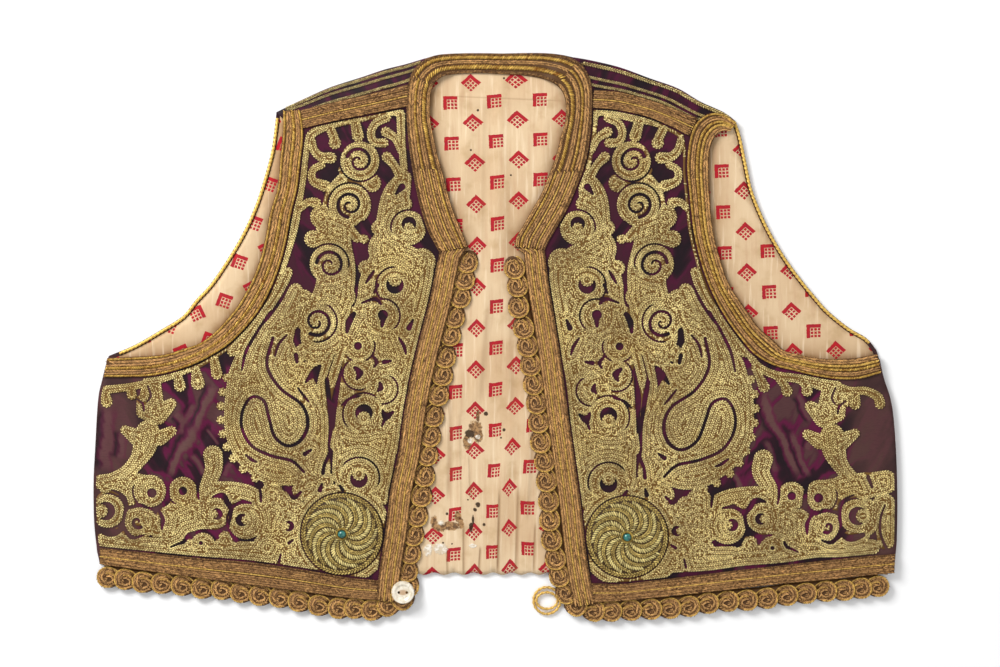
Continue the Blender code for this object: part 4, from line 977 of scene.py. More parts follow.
# Strokes that only one front has, in its own places: the border under the armhole with its bobbles,
# the side of the hem and the corners round the rosette.
OWN_STEMS = {
    "left": (
        ((239, 336, 4), (219, 352, 4), (195, 366, 4), (165, 378, 4), (135, 386, 4), (105, 390, 4.5)),
        ((105, 392, 4.5), (107, 402, 6)), ((131, 388, 4.5), (132, 395, 5.2)), ((178, 376, 4.5),
        (180, 386, 6.2)), ((196, 370, 4.5), (198, 383, 7.2)), ((214, 358, 4.5), (217, 374, 6)),
        ((298, 560, 9), (322, 574, 5)), ((391, 498, 4.5), (392, 530, 4.5), (388, 562, 4.5))
    ),
    "right": (
        ((748, 352, 4), (758, 366, 4), (775, 375, 4.5), (800, 379, 5), (825, 385, 7)), ((755, 368, 4),
        (760, 378, 4.5), (764, 387, 6)), ((778, 378, 4), (785, 386, 4.5), (787, 391, 6)), ((800, 380, 4),
        (806, 386, 4.5), (807, 391, 6)), ((846, 394, 4), (846, 403, 4.2)), ((835, 387, 6), (850, 391, 4.5),
        (866, 391, 4.5), (878, 397, 5), (880, 404, 5.5)), ((855, 394, 5), (855, 404, 6)), ((866, 486, 13),
        (886, 482, 12)), ((842, 487, 12), (866, 484, 12)), ((884, 505, 12), (887, 525, 12), (886, 541, 9)),
        ((800, 548, 10), (850, 548, 9), (872, 547, 8)), ((845, 541, 9), (848, 541, 9)), ((807, 516, 5),
        (807, 522, 5)), ((772, 541, 8), (786, 546, 8)), ((860, 517, 21), (860, 517, 21)), ((862, 536, 8),
        (862, 536, 8)), ((780, 520, 15), (808, 530, 12)), ((594, 498, 6), (606, 492, 9)), ((668, 560, 13),
        (660, 576, 6)), ((640, 583, 4), (660, 578, 6)), ((738, 372, 6), (744.5, 388, 8), (746, 405, 8),
        (746, 425, 8), (743.5, 440, 8), (738, 452, 8), (730, 461, 8), (719, 470, 8))
    ),
}
OWN_GAPS = {
    "left": (),
    "right": (
        ((868, 477, 1.7), (872, 487, 1.2)), ((885, 505, 0.6), (881, 516, 0.9), (880, 530, 0.9),
        (883, 541, 1), (887, 549, 1.4)), ((868, 557, 1.2), (880, 555.5, 1.8), (896, 553, 2)),
        ((807, 482, 2.2), (806, 492, 1.3), (806, 503, 1)), ((806, 503, 1.2), (811, 511, 1.6),
        (818, 512, 0.9))
    ),
}
# Lobes that lie over their neighbours: right, down, radius, then the angle towards the deeper side of
# the groove round them, in degrees clockwise from the right.
OVERLAPS = (
    (360, 161, 19.8, 110), (350, 205, 21.5, 250), (329, 264, 19.5, 290), (317, 322, 19.5, 20),
    (409, 228, 17.5, 250), (395, 286, 18.5, 190), (383, 316, 16.5, 330), (359, 346, 15.5, 60),
    (359, 374, 15.5, 150), (383, 389, 14.5, 20), (364, 414, 20.5, 225), (359, 478, 20, 300),
    (150, 491, 16.5, 120), (183, 491, 14.5, 200), (140, 522, 17, 210), (216, 513, 15.5, 350),
    (246, 521, 18.5, 190), (108, 511, 17, 340), (225, 539, 8.5, 270)
)
OVERLAP_GROOVE = 1.15
OVERLAP_DEPTH = 5
# Round openings that show the silk: columns right, down, radius.
EYES = ((383, 315, 4.8), (358, 346, 3.7), (152, 493, 4.4), (183, 491, 4), (201, 543, 1.8))
# Crescent openings: columns right, down, radius, then how far right and down their own lobe sits.
CRESCENTS = (
    (409, 224, 7, 0, 4), (395, 285, 8.5, 0, -5), (364, 413, 8.5, 0, 5), (359, 479, 8.5, 0, -5),
    (106, 511, 9, -5, 0), (217, 514, 5.5, -3, 0), (242, 520, 6, 4, 0), (289, 526, 5, -3, 0)
)
# Scrolls, whose rows coil inwards: columns right, down, radius, turns, first angle, hand.
SCROLLS = (
    (359, 161, 12.5, 1.3, 200, 1), (350, 205, 12.5, 1.5, 100, 1), (330, 265, 13.5, 1.4, 190, 1),
    (317, 322, 13.5, 1.4, 120, -1), (138, 522, 6, 0.8, 60, 1)
)
SCROLL_GROOVE = (1.5, 0.5)      # half width of a scroll's groove at its outer and inner ends
# Narrow gaps between lobes, cut as strokes: rows of right, down, radius.
GAPS = (
    ((273, 338, 1.3), (267, 365, 1.3), (280, 388, 1.3), (302, 405, 1.3), (308, 424, 1.6), (301, 440, 1.6),
    (288, 446, 1.3), (275, 437, 1.3), (269, 418, 1.3), (264, 401, 1.3), (252, 397, 1.2), (243, 410, 1.2),
    (242, 428, 1.2), (252, 446, 1.3), (272, 456, 1.3), (292, 461, 1.3), (304, 472, 1)), ((287, 335, 0.6),
    (279, 344, 1.1), (275, 356, 0.6)), ((270, 312, 0.7), (256, 334, 1.2), (246, 352, 1.3), (242, 370, 0.7)),
    ((246, 455, 0.8), (252, 460, 1.4), (257, 462, 0.6)), ((298, 388, 0.6), (304, 396, 1.1),
    (309, 402, 0.5)), ((290, 283, 0.7), (281, 300, 1.4), (268, 318, 1.1), (258, 329, 0.6)),
    ((402, 187, 3.2), (396, 194, 0.8)), ((363, 226, 5), (366, 232, 3)), ((409, 328, 2.6), (413, 320, 0.8)),
    ((366, 283, 0.8), (370, 277, 1.6), (374, 271, 0.8)), ((378, 285, 1.4), (374, 293, 0.7)),
    ((362, 303, 0.7), (370, 300, 1.2), (376, 299, 1.8), (381, 304, 1)), ((383, 320, 2.4), (382, 326, 1.4)),
    ((354, 314, 2), (349, 322, 3), (347, 332, 1.4)), ((399, 338, 0.8), (404, 346, 1.6), (406, 354, 0.7)),
    ((355, 368, 1.6), (360, 373, 3.2), (357, 379, 1.2)), ((373, 356, 0.9), (377, 362, 1.7),
    (374, 367, 0.7)), ((384, 362, 2.1), (391, 361, 0.9)), ((380, 383, 1.2), (381, 388, 2.5), (378, 391, 1)),
    ((383, 411, 1.2), (386, 417, 3.2), (393, 412, 1.2)), ((386, 417, 1.6), (382, 426, 0.8)),
    ((342, 405, 0.7), (349, 399, 1), (360, 396, 0.7)), ((327, 380, 2), (329, 400, 2.2), (330, 415, 1.6),
    (331, 428, 1.9), (329, 445, 0.9), (330, 453, 1.7), (325, 463, 1.3), (323, 473, 1.7)), ((305, 454, 2.1),
    (311, 450, 1)), ((320, 490, 2.2), (322, 484, 0.8)), ((340, 486, 1.2), (343, 490, 1.5)),
    ((298, 331, 2.6), (296, 341, 2.6)), ((296, 355, 2), (297, 362, 1.4)), ((306, 382, 1), (314, 372, 3),
    (320, 366, 1.4)), ((112, 490, 0.5), (119, 493, 1.1), (125, 499, 2), (126, 508, 1.5), (124, 518, 1.3),
    (124, 527, 1.4), (131, 537, 1.9), (138, 537, 1.1), (144, 535, 0.5)), ((99, 530, 2.2), (108, 533, 3.2),
    (115, 533, 3), (122, 529, 2)), ((126, 508, 1.1), (132, 507, 1.5), (140, 506, 0.9), (149, 508, 0.9),
    (157, 509, 1.9), (163, 505, 1.9), (168, 502, 1.7), (168.5, 492, 1.2), (168, 482, 1.4), (167, 472, 2.4)),
    ((157, 509, 1.5), (161, 514, 1.3), (163, 520, 2), (162, 529, 0.8)), ((197, 474, 2.4), (197.5, 482, 1.4),
    (198, 492, 1.1), (199, 499, 0.6)), ((213, 497, 0.6), (219, 495, 1.7), (224, 496, 2.4), (227, 502, 2.5),
    (231, 508, 2.1), (231, 515, 1.2), (229, 523, 1.1), (227, 530, 1.5)), ((222, 531, 0.8), (216, 533, 2.3),
    (211, 531, 1.5), (203, 530, 0.7)), ((216, 533, 2), (218, 538, 1.1)), ((231, 534, 1.1), (236, 541, 1.5)),
    ((231, 508, 1.6), (237, 504, 1.5), (243, 502, 1.6), (251, 503, 0.8)), ((260, 489, 0.8), (261, 496, 1.3),
    (261, 502, 0.7)), ((171, 547, 0.6), (178, 544, 0.9), (184, 542, 1.5), (188, 537, 0.9)),
    ((289, 543, 1.4), (293, 540, 0.8)), ((285, 487, 1.6), (290, 493, 1.5), (294, 498, 1.8), (301, 492, 1)),
    ((279, 562, 1.1), (281, 554, 0.6)), ((137, 399, 0.6), (143, 404, 0.9), (144, 411, 0.6)),
    ((148, 386, 0.6), (151, 396, 0.9), (147, 402, 0.5))
)
# The paisley's outer edge, which little bobbles follow.
PICOT_EDGE = (
    (227, 378), (222.6, 392), (221, 406), (221, 420), (222.7, 434), (227, 447), (233.4, 458.4),
    (243.2, 469), (255.4, 478), (268.2, 484)
)
PICOT_PITCH = 10.5
PICOT_STEPS = 4.7
ROSETTES = {"left": (342, 534), "right": (627, 537)}
ROSETTE_STEPS = 41.5
ROSETTE_CUFF = 9                # width of the embroidery drawn round each rosette, in grid steps
ROSETTE_GAP = 0.2
GROUND_MARGIN = 1.4             # how far the embroidery stays off the bands
SIDE_MARGIN = 1.2               # how far the embroidery stays off a side edge, besides its general margin
MIRROR_TOP = 990
MIRROR_ROW = 180
MIRROR_LEAN = 0.075
HEM_DROP = 5
# How much further right the right front's motifs sit than turned-over left ones: left place, grid steps.
SKIRT_DRIFT = ((97, 9), (150, 9), (213, 7), (220, 3.5), (228, 3), (245, 5), (262, 3), (290, 0))
HEM_DRIFT = ((97, -2), (139, 1), (152, 4), (183, 8), (216, 13), (246, 9), (300, 0))
SKIRT_ROWS = (365, 380, 476, 486)
chance = np.random.default_rng(11)


class StitchField:
    """How far each place of the grid is inside a motif, as a negative number of grid steps."""

    def __init__(self, outline, side):
        self.low = outline.min(axis=0) - 4
        high = outline.max(axis=0) + 4
        self.right, self.down = np.meshgrid(np.arange(self.low[0], high[0], FIELD_STEP),
                                            np.arange(self.low[1], high[1], FIELD_STEP))
        self.values = np.full(self.right.shape, 4.0)
        self.side = side

    def spot(self, row):
        """A left front place, or the same place turned over to the right front."""
        if self.side == "left":
            return tuple(row)
        right, down = row[:2]
        drop = HEM_DROP * min(max((down - 330) / 150, 0), 1)
        skirt, hem = (np.interp(right, *np.array(table).T) for table in (SKIRT_DRIFT, HEM_DRIFT))
        drift = np.interp(down, SKIRT_ROWS, (0, skirt, skirt, hem))
        return (MIRROR_TOP - MIRROR_LEAN * (down - MIRROR_ROW) - right + drift, down + drop, *row[2:])

    def stroke(self, start, end, cut=False):
        """Add a straight stroke to the motifs, or cut it out of them."""
        reach = max(start[2], end[2]) + (DEEPEST if cut else 4)
        lowest = np.minimum(start[:2], end[:2]) - reach - self.low
        highest = np.maximum(start[:2], end[:2]) + reach - self.low
        i, j = np.maximum((lowest / FIELD_STEP).astype(int), 0)
        k, m = np.maximum((highest / FIELD_STEP).astype(int) + 1, 0)
        window = (slice(j, m), slice(i, k))
        away = stroke_field(self.right[window], self.down[window], start, end)
        if cut:
            self.values[window] = np.maximum(self.values[window], -away)
        else:
            self.values[window] = np.minimum(self.values[window], away)

    def path(self, rows, spacing, cut=False, own=False):
        curve = smooth_rows(rows if own else [self.spot(row) for row in rows], spacing)
        for start, end in zip(curve, curve[1:]):
            self.stroke(start, end, cut)

    def disc(self, row, cut=False):
        spot = self.spot(row)
        self.stroke(spot, spot, cut)

    def crescent(self, right, down, radius, shift_right, shift_down):
        """Cut a round opening, all but the lobe that fills one side of it."""
        spot = self.spot((right, down))
        hand = 1 if self.side == "left" else -1
        opening = np.hypot(self.right - spot[0], self.down - spot[1]) - radius
        lobe = np.hypot(self.right - spot[0] - hand * shift_right, self.down - spot[1] - shift_down)
        self.values = np.maximum(self.values, -np.maximum(opening, 0.8 * radius - lobe))

    def overlap(self, right, down, radius, facing):
        """Add a lobe that lies over its neighbours, with a groove round it that fades on one side."""
        spot = self.spot((right, down))
        hand = 1 if self.side == "left" else -1
        away = np.hypot(self.right - spot[0], self.down - spot[1]) - radius
        towards = (hand * math.cos(math.radians(facing)), math.sin(math.radians(facing)))
        share = (self.right - spot[0]) * towards[0] + (self.down - spot[1]) * towards[1]
        share = np.clip(0.7 + share / (away + radius + 1e-6), 0, 1)
        groove = OVERLAP_GROOVE * share - away - OVERLAP_DEPTH * (1 - share)
        self.values = np.minimum(np.maximum(self.values, groove), away)

    def keep_inside(self, outline, margin):
        self.values = np.maximum(self.values, outline_field(self.right, self.down, outline) + margin)

    def sample(self, spots):
        place_right, place_down = ((spots - self.low) / FIELD_STEP).T
        i = np.clip(place_right.astype(int), 0, self.values.shape[1] - 2)
        j = np.clip(place_down.astype(int), 0, self.values.shape[0] - 2)
        t = place_right - i
        s = place_down - j
        upper = self.values[j, i] * (1 - t) + self.values[j, i + 1] * t
        lower = self.values[j + 1, i] * (1 - t) + self.values[j + 1, i + 1] * t
        return upper * (1 - s) + lower * s

    def crossing(self, a, b, level):
        t = (self.values[a] - level) / (self.values[a] - self.values[b])
        return tuple(axis[a] + t * (axis[b] - axis[a]) for axis in (self.right, self.down))

    def lines(self, level):
        """Closed lines along which the field has one value."""
        inside = self.values < level
        links = {}
        mixed = inside[:-1, :-1].astype(int) + inside[:-1, 1:] + inside[1:, 1:] + inside[1:, :-1]
        for j, i in np.argwhere((mixed > 0) & (mixed < 4)).tolist():
            corners = [(j, i), (j, i + 1), (j + 1, i + 1), (j + 1, i)]
            edges = [tuple(sorted((a, b))) for a, b in zip(corners, corners[1:] + corners[:1])]
            cut = [k for k in range(4) if inside[corners[k]] != inside[corners[(k + 1) % 4]]]
            if len(cut) == 4 and not inside[corners[0]]:
                cut = cut[1:] + cut[:1]
            if len(cut) == 4:
                cut = cut[3:] + cut[:3]
            for first, second in zip(cut[::2], cut[1::2]):
                links.setdefault(edges[first], []).append(edges[second])
                links.setdefault(edges[second], []).append(edges[first])
        loops = []
        while links:
            start = next(iter(links))
            walk = [start]
            while links.get(walk[-1]):
                following = links[walk[-1]].pop()
                links[following].remove(walk[-1])
                if not links[walk[-1]]:
                    del links[walk[-1]]
                if following == start:
                    break
                walk.append(following)
            links.pop(start, None)
            if len(walk) > 4:
                loops.append(np.array([self.crossing(a, b, level) for a, b in walk]))
        return loops


def even_walk(line, pitch, closed=False, shift=0.0):
    """Places and directions at an even pitch along a line."""
    if closed:
        line = np.vstack([line, line[:1]])
    run = run_along(line)
    count = max(int(round(run[-1] / pitch)), 1)
    at = (np.arange(count) + shift) / count * run[-1]
    spots = np.column_stack([np.interp(at, run, axis) for axis in line.T])
    reach = min(pitch, run[-1] / 4)
    ahead, behind = at + reach / 2, at - reach / 2
    if closed:
        ahead, behind = ahead % run[-1], behind % run[-1]
    along = np.column_stack([np.interp(ahead, run, axis) - np.interp(behind, run, axis) for axis in line.T])
    length = np.maximum(np.linalg.norm(along, axis=1), 1e-6)
    return spots, along / length[:, None], np.interp(at, run, np.linspace(0, 1, len(line)))


def along_line(values, shares):
    """Values given at a line's points, or one for all, read at shares of the way along it."""
    if np.ndim(values) == 0:
        return np.full(len(shares), float(values))
    return np.interp(shares, np.linspace(0, 1, len(values)), values)


def stitches(spots, along, height, slant, length, breadth, rise, tone=0.0, gold=0.0):
    """Rows of right, down, height, angle, length, breadth, rise, tone, gold, one for each stitch."""
    count = len(spots)
    angle = np.arctan2(-along[:, 1], along[:, 0]) + slant + chance.normal(0, 0.07, count)
    values = (height, angle, length * chance.uniform(0.9, 1.1, count), breadth,
              rise * chance.uniform(0.88, 1.0, count), tone + chance.normal(0, 0.3, count), gold)
    return np.column_stack([spots, *[np.broadcast_to(value, count) for value in values]])


def plaited_row(line, height, width, closed=False, tone=0.0, gold=0.0):
    """A row of cord whose two halves slant towards each other, as in a plait."""
    rows = []
    pitch = STITCH_PITCH * np.mean(width) / ROW_STEPS
    for half in (-1, 1):
        spots, along, shares = even_walk(line, pitch, closed, 0.25 + 0.25 * half)
        wide = along_line(width, shares)
        rows.append(stitches(spots + square_to(along) * (half * wide * PLAIT_SHIFT)[:, None], along,
                             along_line(height, shares), half * PLAIT_SLANT, wide * PLAIT_LENGTH,
                             wide * PLAIT_BREADTH, STITCH_RISE, tone, gold))
    return np.vstack(rows)


def stitch_mesh(rows):
    """Vertices, faces and tones of many small stitches, each a six-sided foot under a short ridge.
    The foot takes a darker tone than the ridge: painted shade in the gaps between stitches."""
    turns = np.arange(6) * math.pi / 3
    foot = np.column_stack([np.cos(turns) / 2, np.sin(turns) / 2, np.zeros(6)])
    shape = np.vstack([foot, ((RIDGE_REACH, 0, 1), (-RIDGE_REACH, 0, 1))])
    corners = len(shape)
    right, down, height, angle, length, breadth, rise, tone, gold = rows.T
    x, y = place(right, down)
    local_x = shape[None, :, 0] * (length * GRID_STEP)[:, None]
    local_y = shape[None, :, 1] * (breadth * GRID_STEP)[:, None]
    turn_x, turn_y = np.cos(angle)[:, None], np.sin(angle)[:, None]
    vertices = np.stack([x[:, None] + local_x * turn_x - local_y * turn_y,
                         y[:, None] + local_x * turn_y + local_y * turn_x,
                         height[:, None] + shape[None, :, 2] * rise[:, None]], axis=2)
    pattern = ((5, 4, 3, 2, 1, 0), (0, 1, 6), (1, 2, 7, 6), (2, 3, 7), (3, 4, 7), (4, 5, 6, 7), (5, 0, 6))
    faces = []
    for start in range(0, corners * len(rows), corners):
        faces += [tuple(k + start for k in face) for face in pattern]
    # Painted shade: each stitch darker towards its foot, down to the darkest tone.
    tones = np.clip(tone, DARKEST, 2)[:, None] - FOOT_SHADE * (1 - shape[None, :, 2])
    return vertices.reshape(-1, 3), faces, np.maximum(tones, DARKEST).ravel(), np.repeat(gold, corners)


def give_thread(piece, tones, golds):
    """Set the tone and the gilding that the thread's finish reads, for each vertex or one for all."""
    for name, values in (("tone", tones), ("gold", golds)):
        values = np.ones(len(piece.data.vertices)) * values
        piece.data.attributes.new(name, "FLOAT", "POINT").data.foreach_set("value", values)


def stitched_piece(name, rows, material, ground=None):
    """One joined mesh of stitches on their padding, with the tone and gilding of each stitch."""
    vertices, faces, tones, golds = stitch_mesh(rows)
    if ground is not None:
        ground_vertices, ground_faces = ground
        faces = faces + [tuple(k + len(vertices) for k in face) for face in ground_faces]
        vertices = np.vstack([vertices, ground_vertices])
        tones = np.concatenate([tones, np.full(len(ground_vertices), GROUND_TONE)])
        golds = np.concatenate([golds, np.zeros(len(ground_vertices))])
    piece = new_piece(name, vertices, faces, material)
    give_thread(piece, tones, golds)
    return piece


def padding(field):
    """The closed raised ground under the rows, rounded towards its edge."""
    outer = [thin_loop(loop, 0.3) for loop in field.lines(-PADDING_INSET)]
    inner = [thin_loop(loop, 0.3) for loop in field.lines(-PADDING_INSET - EDGE_STEPS)]
    corners = []
    edges = []
    for loop in outer + inner:
        if len(loop) > 2:
            edges += [(len(corners) + k, len(corners) + (k + 1) % len(loop)) for k in range(len(loop))]
            corners += list(loop)

    def in_motif(faces):
        sides = (faces + np.roll(faces, -1, axis=1)) / 2
        crosses_gap = field.sample(sides.reshape(-1, 2)).reshape(-1, 3).max(axis=1) > GAP_CROSSED
        return (field.sample(faces.mean(axis=1)) < -0.25) & ~crosses_gap

    spots, faces = flat_cloth(corners, edges, in_motif)
    share = np.clip((-field.sample(spots) - PADDING_INSET) / EDGE_STEPS, 0, 1)
    tops = FRONT_TOP + PLATEAU * (0.1 + 0.9 * share)
    return shell(spots, faces, tops, np.full(len(spots), FRONT_TOP - SINK))


def thin_line(line, tolerance):
    """The fewest points of an open line that keep it within the tolerance."""
    if len(line) < 3:
        return [line[0]]
    chord = line[-1] - line[0]
    apart = line - line[0]
    length = np.hypot(*chord)
    if length < 1e-6:
        away = np.hypot(apart[:, 0], apart[:, 1])
    else:
        away = abs(chord[0] * apart[:, 1] - chord[1] * apart[:, 0]) / length
    widest = int(np.argmax(away))
    if away[widest] < tolerance:
        return [line[0]]
    return thin_line(line[:widest + 1], tolerance) + thin_line(line[widest:], tolerance)


def thin_loop(loop, tolerance):
    far = int(np.argmax(np.hypot(*(loop - loop[0]).T)))
    closed = np.vstack([loop, loop[:1]])
    return np.array(thin_line(closed[:far + 1], tolerance) + thin_line(closed[far:], tolerance))


def embroidery_ground(side):
    """The outline between the bands and the side edge that the motifs keep inside."""
    neck, hem, side_edge, armhole = front_lines(side, 1)
    hand = 1 if side == "left" else -1
    seam = smooth_rows(LEFT_SHOULDER_BAND if side == "left" else RIGHT_SHOULDER_BAND, 5)[::hand, 2:]
    side_edge = side_edge + (hand * SIDE_MARGIN, 0)
    return join_lines(seam, neck, front_edge(side)[0][:-2], hem, side_edge, armhole)


def motifs(side):
    ground = embroidery_ground(side)
    field = StitchField(ground, side)
    for row in LOBES:
        field.disc(row)
    for rows in STEMS:
        field.path(rows, 4)
    for rows in OWN_STEMS[side]:
        field.path(rows, 4, own=True)
    for right, down in smooth_rows(PICOT_EDGE, PICOT_PITCH):
        field.disc((right, down, PICOT_STEPS))
    for row in OVERLAPS:
        field.overlap(*row)
    cuff = (*ROSETTES[side], ROSETTE_STEPS + ROSETTE_CUFF)
    field.stroke(cuff, cuff)
    for row in EYES:
        field.disc(row, cut=True)
    for row in CRESCENTS:
        field.crescent(*row)
    for rows in GAPS:
        field.path(rows, 3, cut=True)
    for rows in OWN_GAPS[side]:
        field.path(rows, 3, cut=True, own=True)
    for right, down, radius, turns, first, hand in SCROLLS:
        share = np.linspace(0, 1, int(turns * 16))
        angle = math.radians(first) + hand * share * turns * 2 * math.pi
        reach = radius * (1 - 0.85 * share ** 1.6)
        width = SCROLL_GROOVE[0] + (SCROLL_GROOVE[1] - SCROLL_GROOVE[0]) * share
        coil = np.column_stack([right + reach * np.cos(angle), down + reach * np.sin(angle), width])
        field.path(coil, 3, cut=True)
    well = (*ROSETTES[side], ROSETTE_STEPS + ROSETTE_GAP)
    field.stroke(well, well, cut=True)
    field.keep_inside(ground, GROUND_MARGIN)
    return field


def thread(flow, gold, light, dull, gilt, ground, cloud=None):
    """Colour of dull and of gilt thread, each from its darkest to its palest, over the padding's.
    Light is the share of a stitch's tone, the middle, the fleck and its share.
    Cloud is the scale, the strength and the colour of patches on the dull thread."""
    tone = flow.attribute("tone")
    tone_share, middle, fleck, fleck_share = light
    pale = (tone * tone_share + middle + (fleck - 0.5) * fleck_share).clamped()
    dull = pale.blend(*dull)
    if cloud:
        scale, strength, patch = cloud
        dull = (flow.noise(flow.places(), scale, 3.0).step(0.45, 0.7) * strength).blend(dull, patch)
    bare = (tone < (DARKEST + GROUND_TONE) / 2) * (gold < 0.5)
    return bare.blend(gold.blend(dull, pale.blend(*gilt)), ground)


def couched_cord(flow):
    """Gilt thread gone khaki, with painted shade that leaves it paler on top of each stitch than in the gaps.
    """
    gold = flow.attribute("gold")
    fleck = flow.noise(flow.places(), 1100.0, 2.0)
    colour = thread(flow, gold, (0.68, 0.77, fleck, 1.3), (dye(94, 60, 16), dye(255, 236, 164)),
                    (dye(150, 92, 26), dye(240, 190, 92)), dye(108, 76, 30), (40.0, 0.2, dye(222, 188, 98)))
    return {"Base Color": colour, "Metallic": 0.1 + gold * 0.25, "Roughness": 0.5 - gold * 0.1,
            "Normal": flow.bump(fleck, 0.3, 0.0002)}


def filling(field, rows, height):
    """Stitches that fill what the rows of a motif leave open in its middle."""
    taken = {}
    for spot in rows[:, :2]:
        taken.setdefault(tuple((spot // FILL_SPACING).astype(int)), []).append(spot)
    steep_down, steep_right = np.gradient(field.values)
    found = []
    for j, i in np.argwhere(field.values < -1.4).tolist():
        spot = np.array((field.right[j, i], field.down[j, i])) + chance.uniform(-0.3, 0.3, 2)
        a, b = (spot // FILL_SPACING).astype(int)
        near = [other for k in (a - 1, a, a + 1) for m in (b - 1, b, b + 1)
                for other in taken.get((k, m), ())]
        if all(math.dist(spot, other) > FILL_SPACING for other in near):
            taken.setdefault((a, b), []).append(spot)
            found.append((*spot, -steep_down[j, i], steep_right[j, i]))
    found = np.array(found)
    along = found[:, 2:] / np.maximum(np.linalg.norm(found[:, 2:], axis=1), 1e-6)[:, None]
    slants = PLAIT_SLANT * (-1.0) ** np.arange(len(found))
    return stitches(found[:, :2], along, height, slants, ROW_STEPS * PLAIT_LENGTH, ROW_STEPS * PLAIT_BREADTH,
                    STITCH_RISE)


cord_finish = finish("couched cord", {"Specular IOR Level": 0.3}, couched_cord)
for side in ("left", "right"):
    field = motifs(side)
    row_height = FRONT_TOP + PLATEAU - STITCH_SINK
    rows = []
    deepest = int(-field.values.min() / ROW_STEPS) + 1
    for number in range(deepest):
        for loop in field.lines(-(number + 0.5) * ROW_STEPS):
            if len(loop) > 8:
                rows.append(plaited_row(loop, row_height, ROW_STEPS, closed=True))
    rows = np.vstack(rows)
    rows = np.vstack([rows, filling(field, rows, row_height)])
    rows[:, 7] += PATINA * np.sin(rows[:, 0] / PATINA_REACH[0]) * np.sin(rows[:, 1] / PATINA_REACH[1])
    upper = rows[:, 1] < np.median(rows[:, 1])
    for label, chosen, under in (("upper", upper, padding(field)), ("lower", ~upper, None)):
        piece = stitched_piece(f"embroidery_{side}_{label}", rows[chosen], cord_finish, under)


# ---------------------------------------------------------------- braid bands
# Bands of taupe silk cord laid side by side, with gold twisted cord between them, cover the neck,
# the front edges, the armholes, the shoulder seams and the hem.
BAND_PADDING = 0.0008
TWIST_SLANT = 0.9               # how far the strands of a twisted cord lean from its run, in radians
FIBRE_SLANT = 0.4               # how far the fibres of a braid lean from its run, in radians
FIBRE_PITCH = 2.1
FIBRE_BREADTH = 1.3
FIBRE_LENGTH = 1.3              # a fibre's length as a share of its braid's width
FIBRE_RISE = 0.0003
FIBRE_SHIFT = 0.24              # how far a fibre's middle lies off its braid's, as a share of the width
ROW_SINK = 0.0001               # how deep a band's cords lie in its padding
# The neck band steps down off the fronts inside these columns and above this row, over so many steps.
NECK_STEPS = (454, 542, 86)
STEP_ACROSS = 9
STEP_DOWN = 8
BACK_NECK = (498, 60, 95)       # behind the neck: middle column, half width, lowest row
LOWER_NECK = 172                # row below which the neck band's twisted cords give way to braid
WORN_SHADE = -0.4               # how much darker the worn hem and shoulder bands are
# Cords of a band: share of the way across, width in grid steps, kind.
FRONT_CORDS = (
    (0.03, 1.6, "dark"), (0.19, 5.6, "braid"), (0.36, 2.1, "gold"), (0.52, 5.4, "braid"),
    (0.68, 2.1, "gold"), (0.85, 5.6, "braid")
)
NECK_CORDS = (
    (0.03, 1.8, "dark"), (0.19, 6, "braid"), (0.36, 3.4, "twist"), (0.53, 4.6, "braid"), (0.74, 5, "twist"),
    (0.93, 3, "braid")
)
BACK_NECK_CORDS = (
    (0.05, 2.4, "dark"), (0.2, 5.2, "twist"), (0.42, 4, "braid"), (0.68, 6, "twist"), (0.93, 3, "dark")
)
LOWER_NECK_CORDS = (
    (0.04, 1.6, "dark"), (0.17, 5, "braid"), (0.29, 1.8, "gold"), (0.42, 5, "braid"), (0.55, 2.2, "gold"),
    (0.68, 4.6, "braid"), (0.8, 3, "twist"), (0.93, 3.6, "braid")
)
LEFT_ARMHOLE_CORDS = (
    (0.06, 3, "twist"), (0.25, 5, "braid"), (0.45, 4.2, "twist"), (0.68, 6.4, "braid"), (0.91, 3, "twist")
)
RIGHT_ARMHOLE_CORDS = (
    (0.06, 3, "twist"), (0.26, 4.4, "braid"), (0.46, 3.8, "twist"), (0.64, 3.6, "gold"),
    (0.85, 5.4, "braid")
)
SHOULDER_CORDS = (
    (0.14, 4.6, "braid"), (0.37, 4.2, "braid"), (0.53, 1.8, "gold"), (0.7, 4.4, "braid"), (0.9, 4, "braid")
)
HEM_CORDS = (
    (0.04, 1.4, "dark"), (0.2, 4.4, "braid"), (0.38, 4.4, "braid"), (0.52, 1.7, "gold"), (0.68, 5, "braid"),
    (0.88, 5, "braid")
)


def neck_floor(stations):
    """The neck band lies on the fronts, and comes down behind the neck where there is no front."""
    right, down = stations[:, 2:].T
    first, last, row = NECK_STEPS
    rise = np.maximum.reduce([(first - right) / STEP_ACROSS, (right - last) / STEP_ACROSS,
                              (down - row) / STEP_DOWN])
    return FRONT_BOTTOM + (BAND_BOTTOM - FRONT_BOTTOM) * np.clip(rise, 0, 1)


def twisted_row(line, height, width, tone=0.0, gold=1.0, closed=False, hand=1):
    """A row of twisted cord: slanting strands that cross its whole width."""
    pitch = max(width * 0.42, 1.2)
    spots, along, shares = even_walk(line, pitch, closed, 0.5)
    return stitches(spots, along, along_line(height, shares), hand * TWIST_SLANT, width * 1.2, pitch * 1.05,
                    STITCH_RISE * min(width / 3.2, 1.5), tone, gold)


def fibre_row(line, height, width, tone=0.0, gold=0.0):
    """A row of flat silk braid: fine fibres that slant from both edges towards its middle line."""
    rows = []
    reach = run_along(line)[-1]
    for half in (-1, 1):
        spots, along, shares = even_walk(line, FIBRE_PITCH, shift=0.5 + half * 0.25)
        wide = along_line(width, shares)
        length = np.minimum(wide * FIBRE_LENGTH, 2 * reach * np.minimum(shares, 1 - shares) + 1)
        rows.append(stitches(spots + square_to(along) * (half * wide * FIBRE_SHIFT)[:, None], along,
                             along_line(height, shares), half * FIBRE_SLANT, length, FIBRE_BREADTH,
                             FIBRE_RISE, tone, gold))
    return np.vstack(rows)


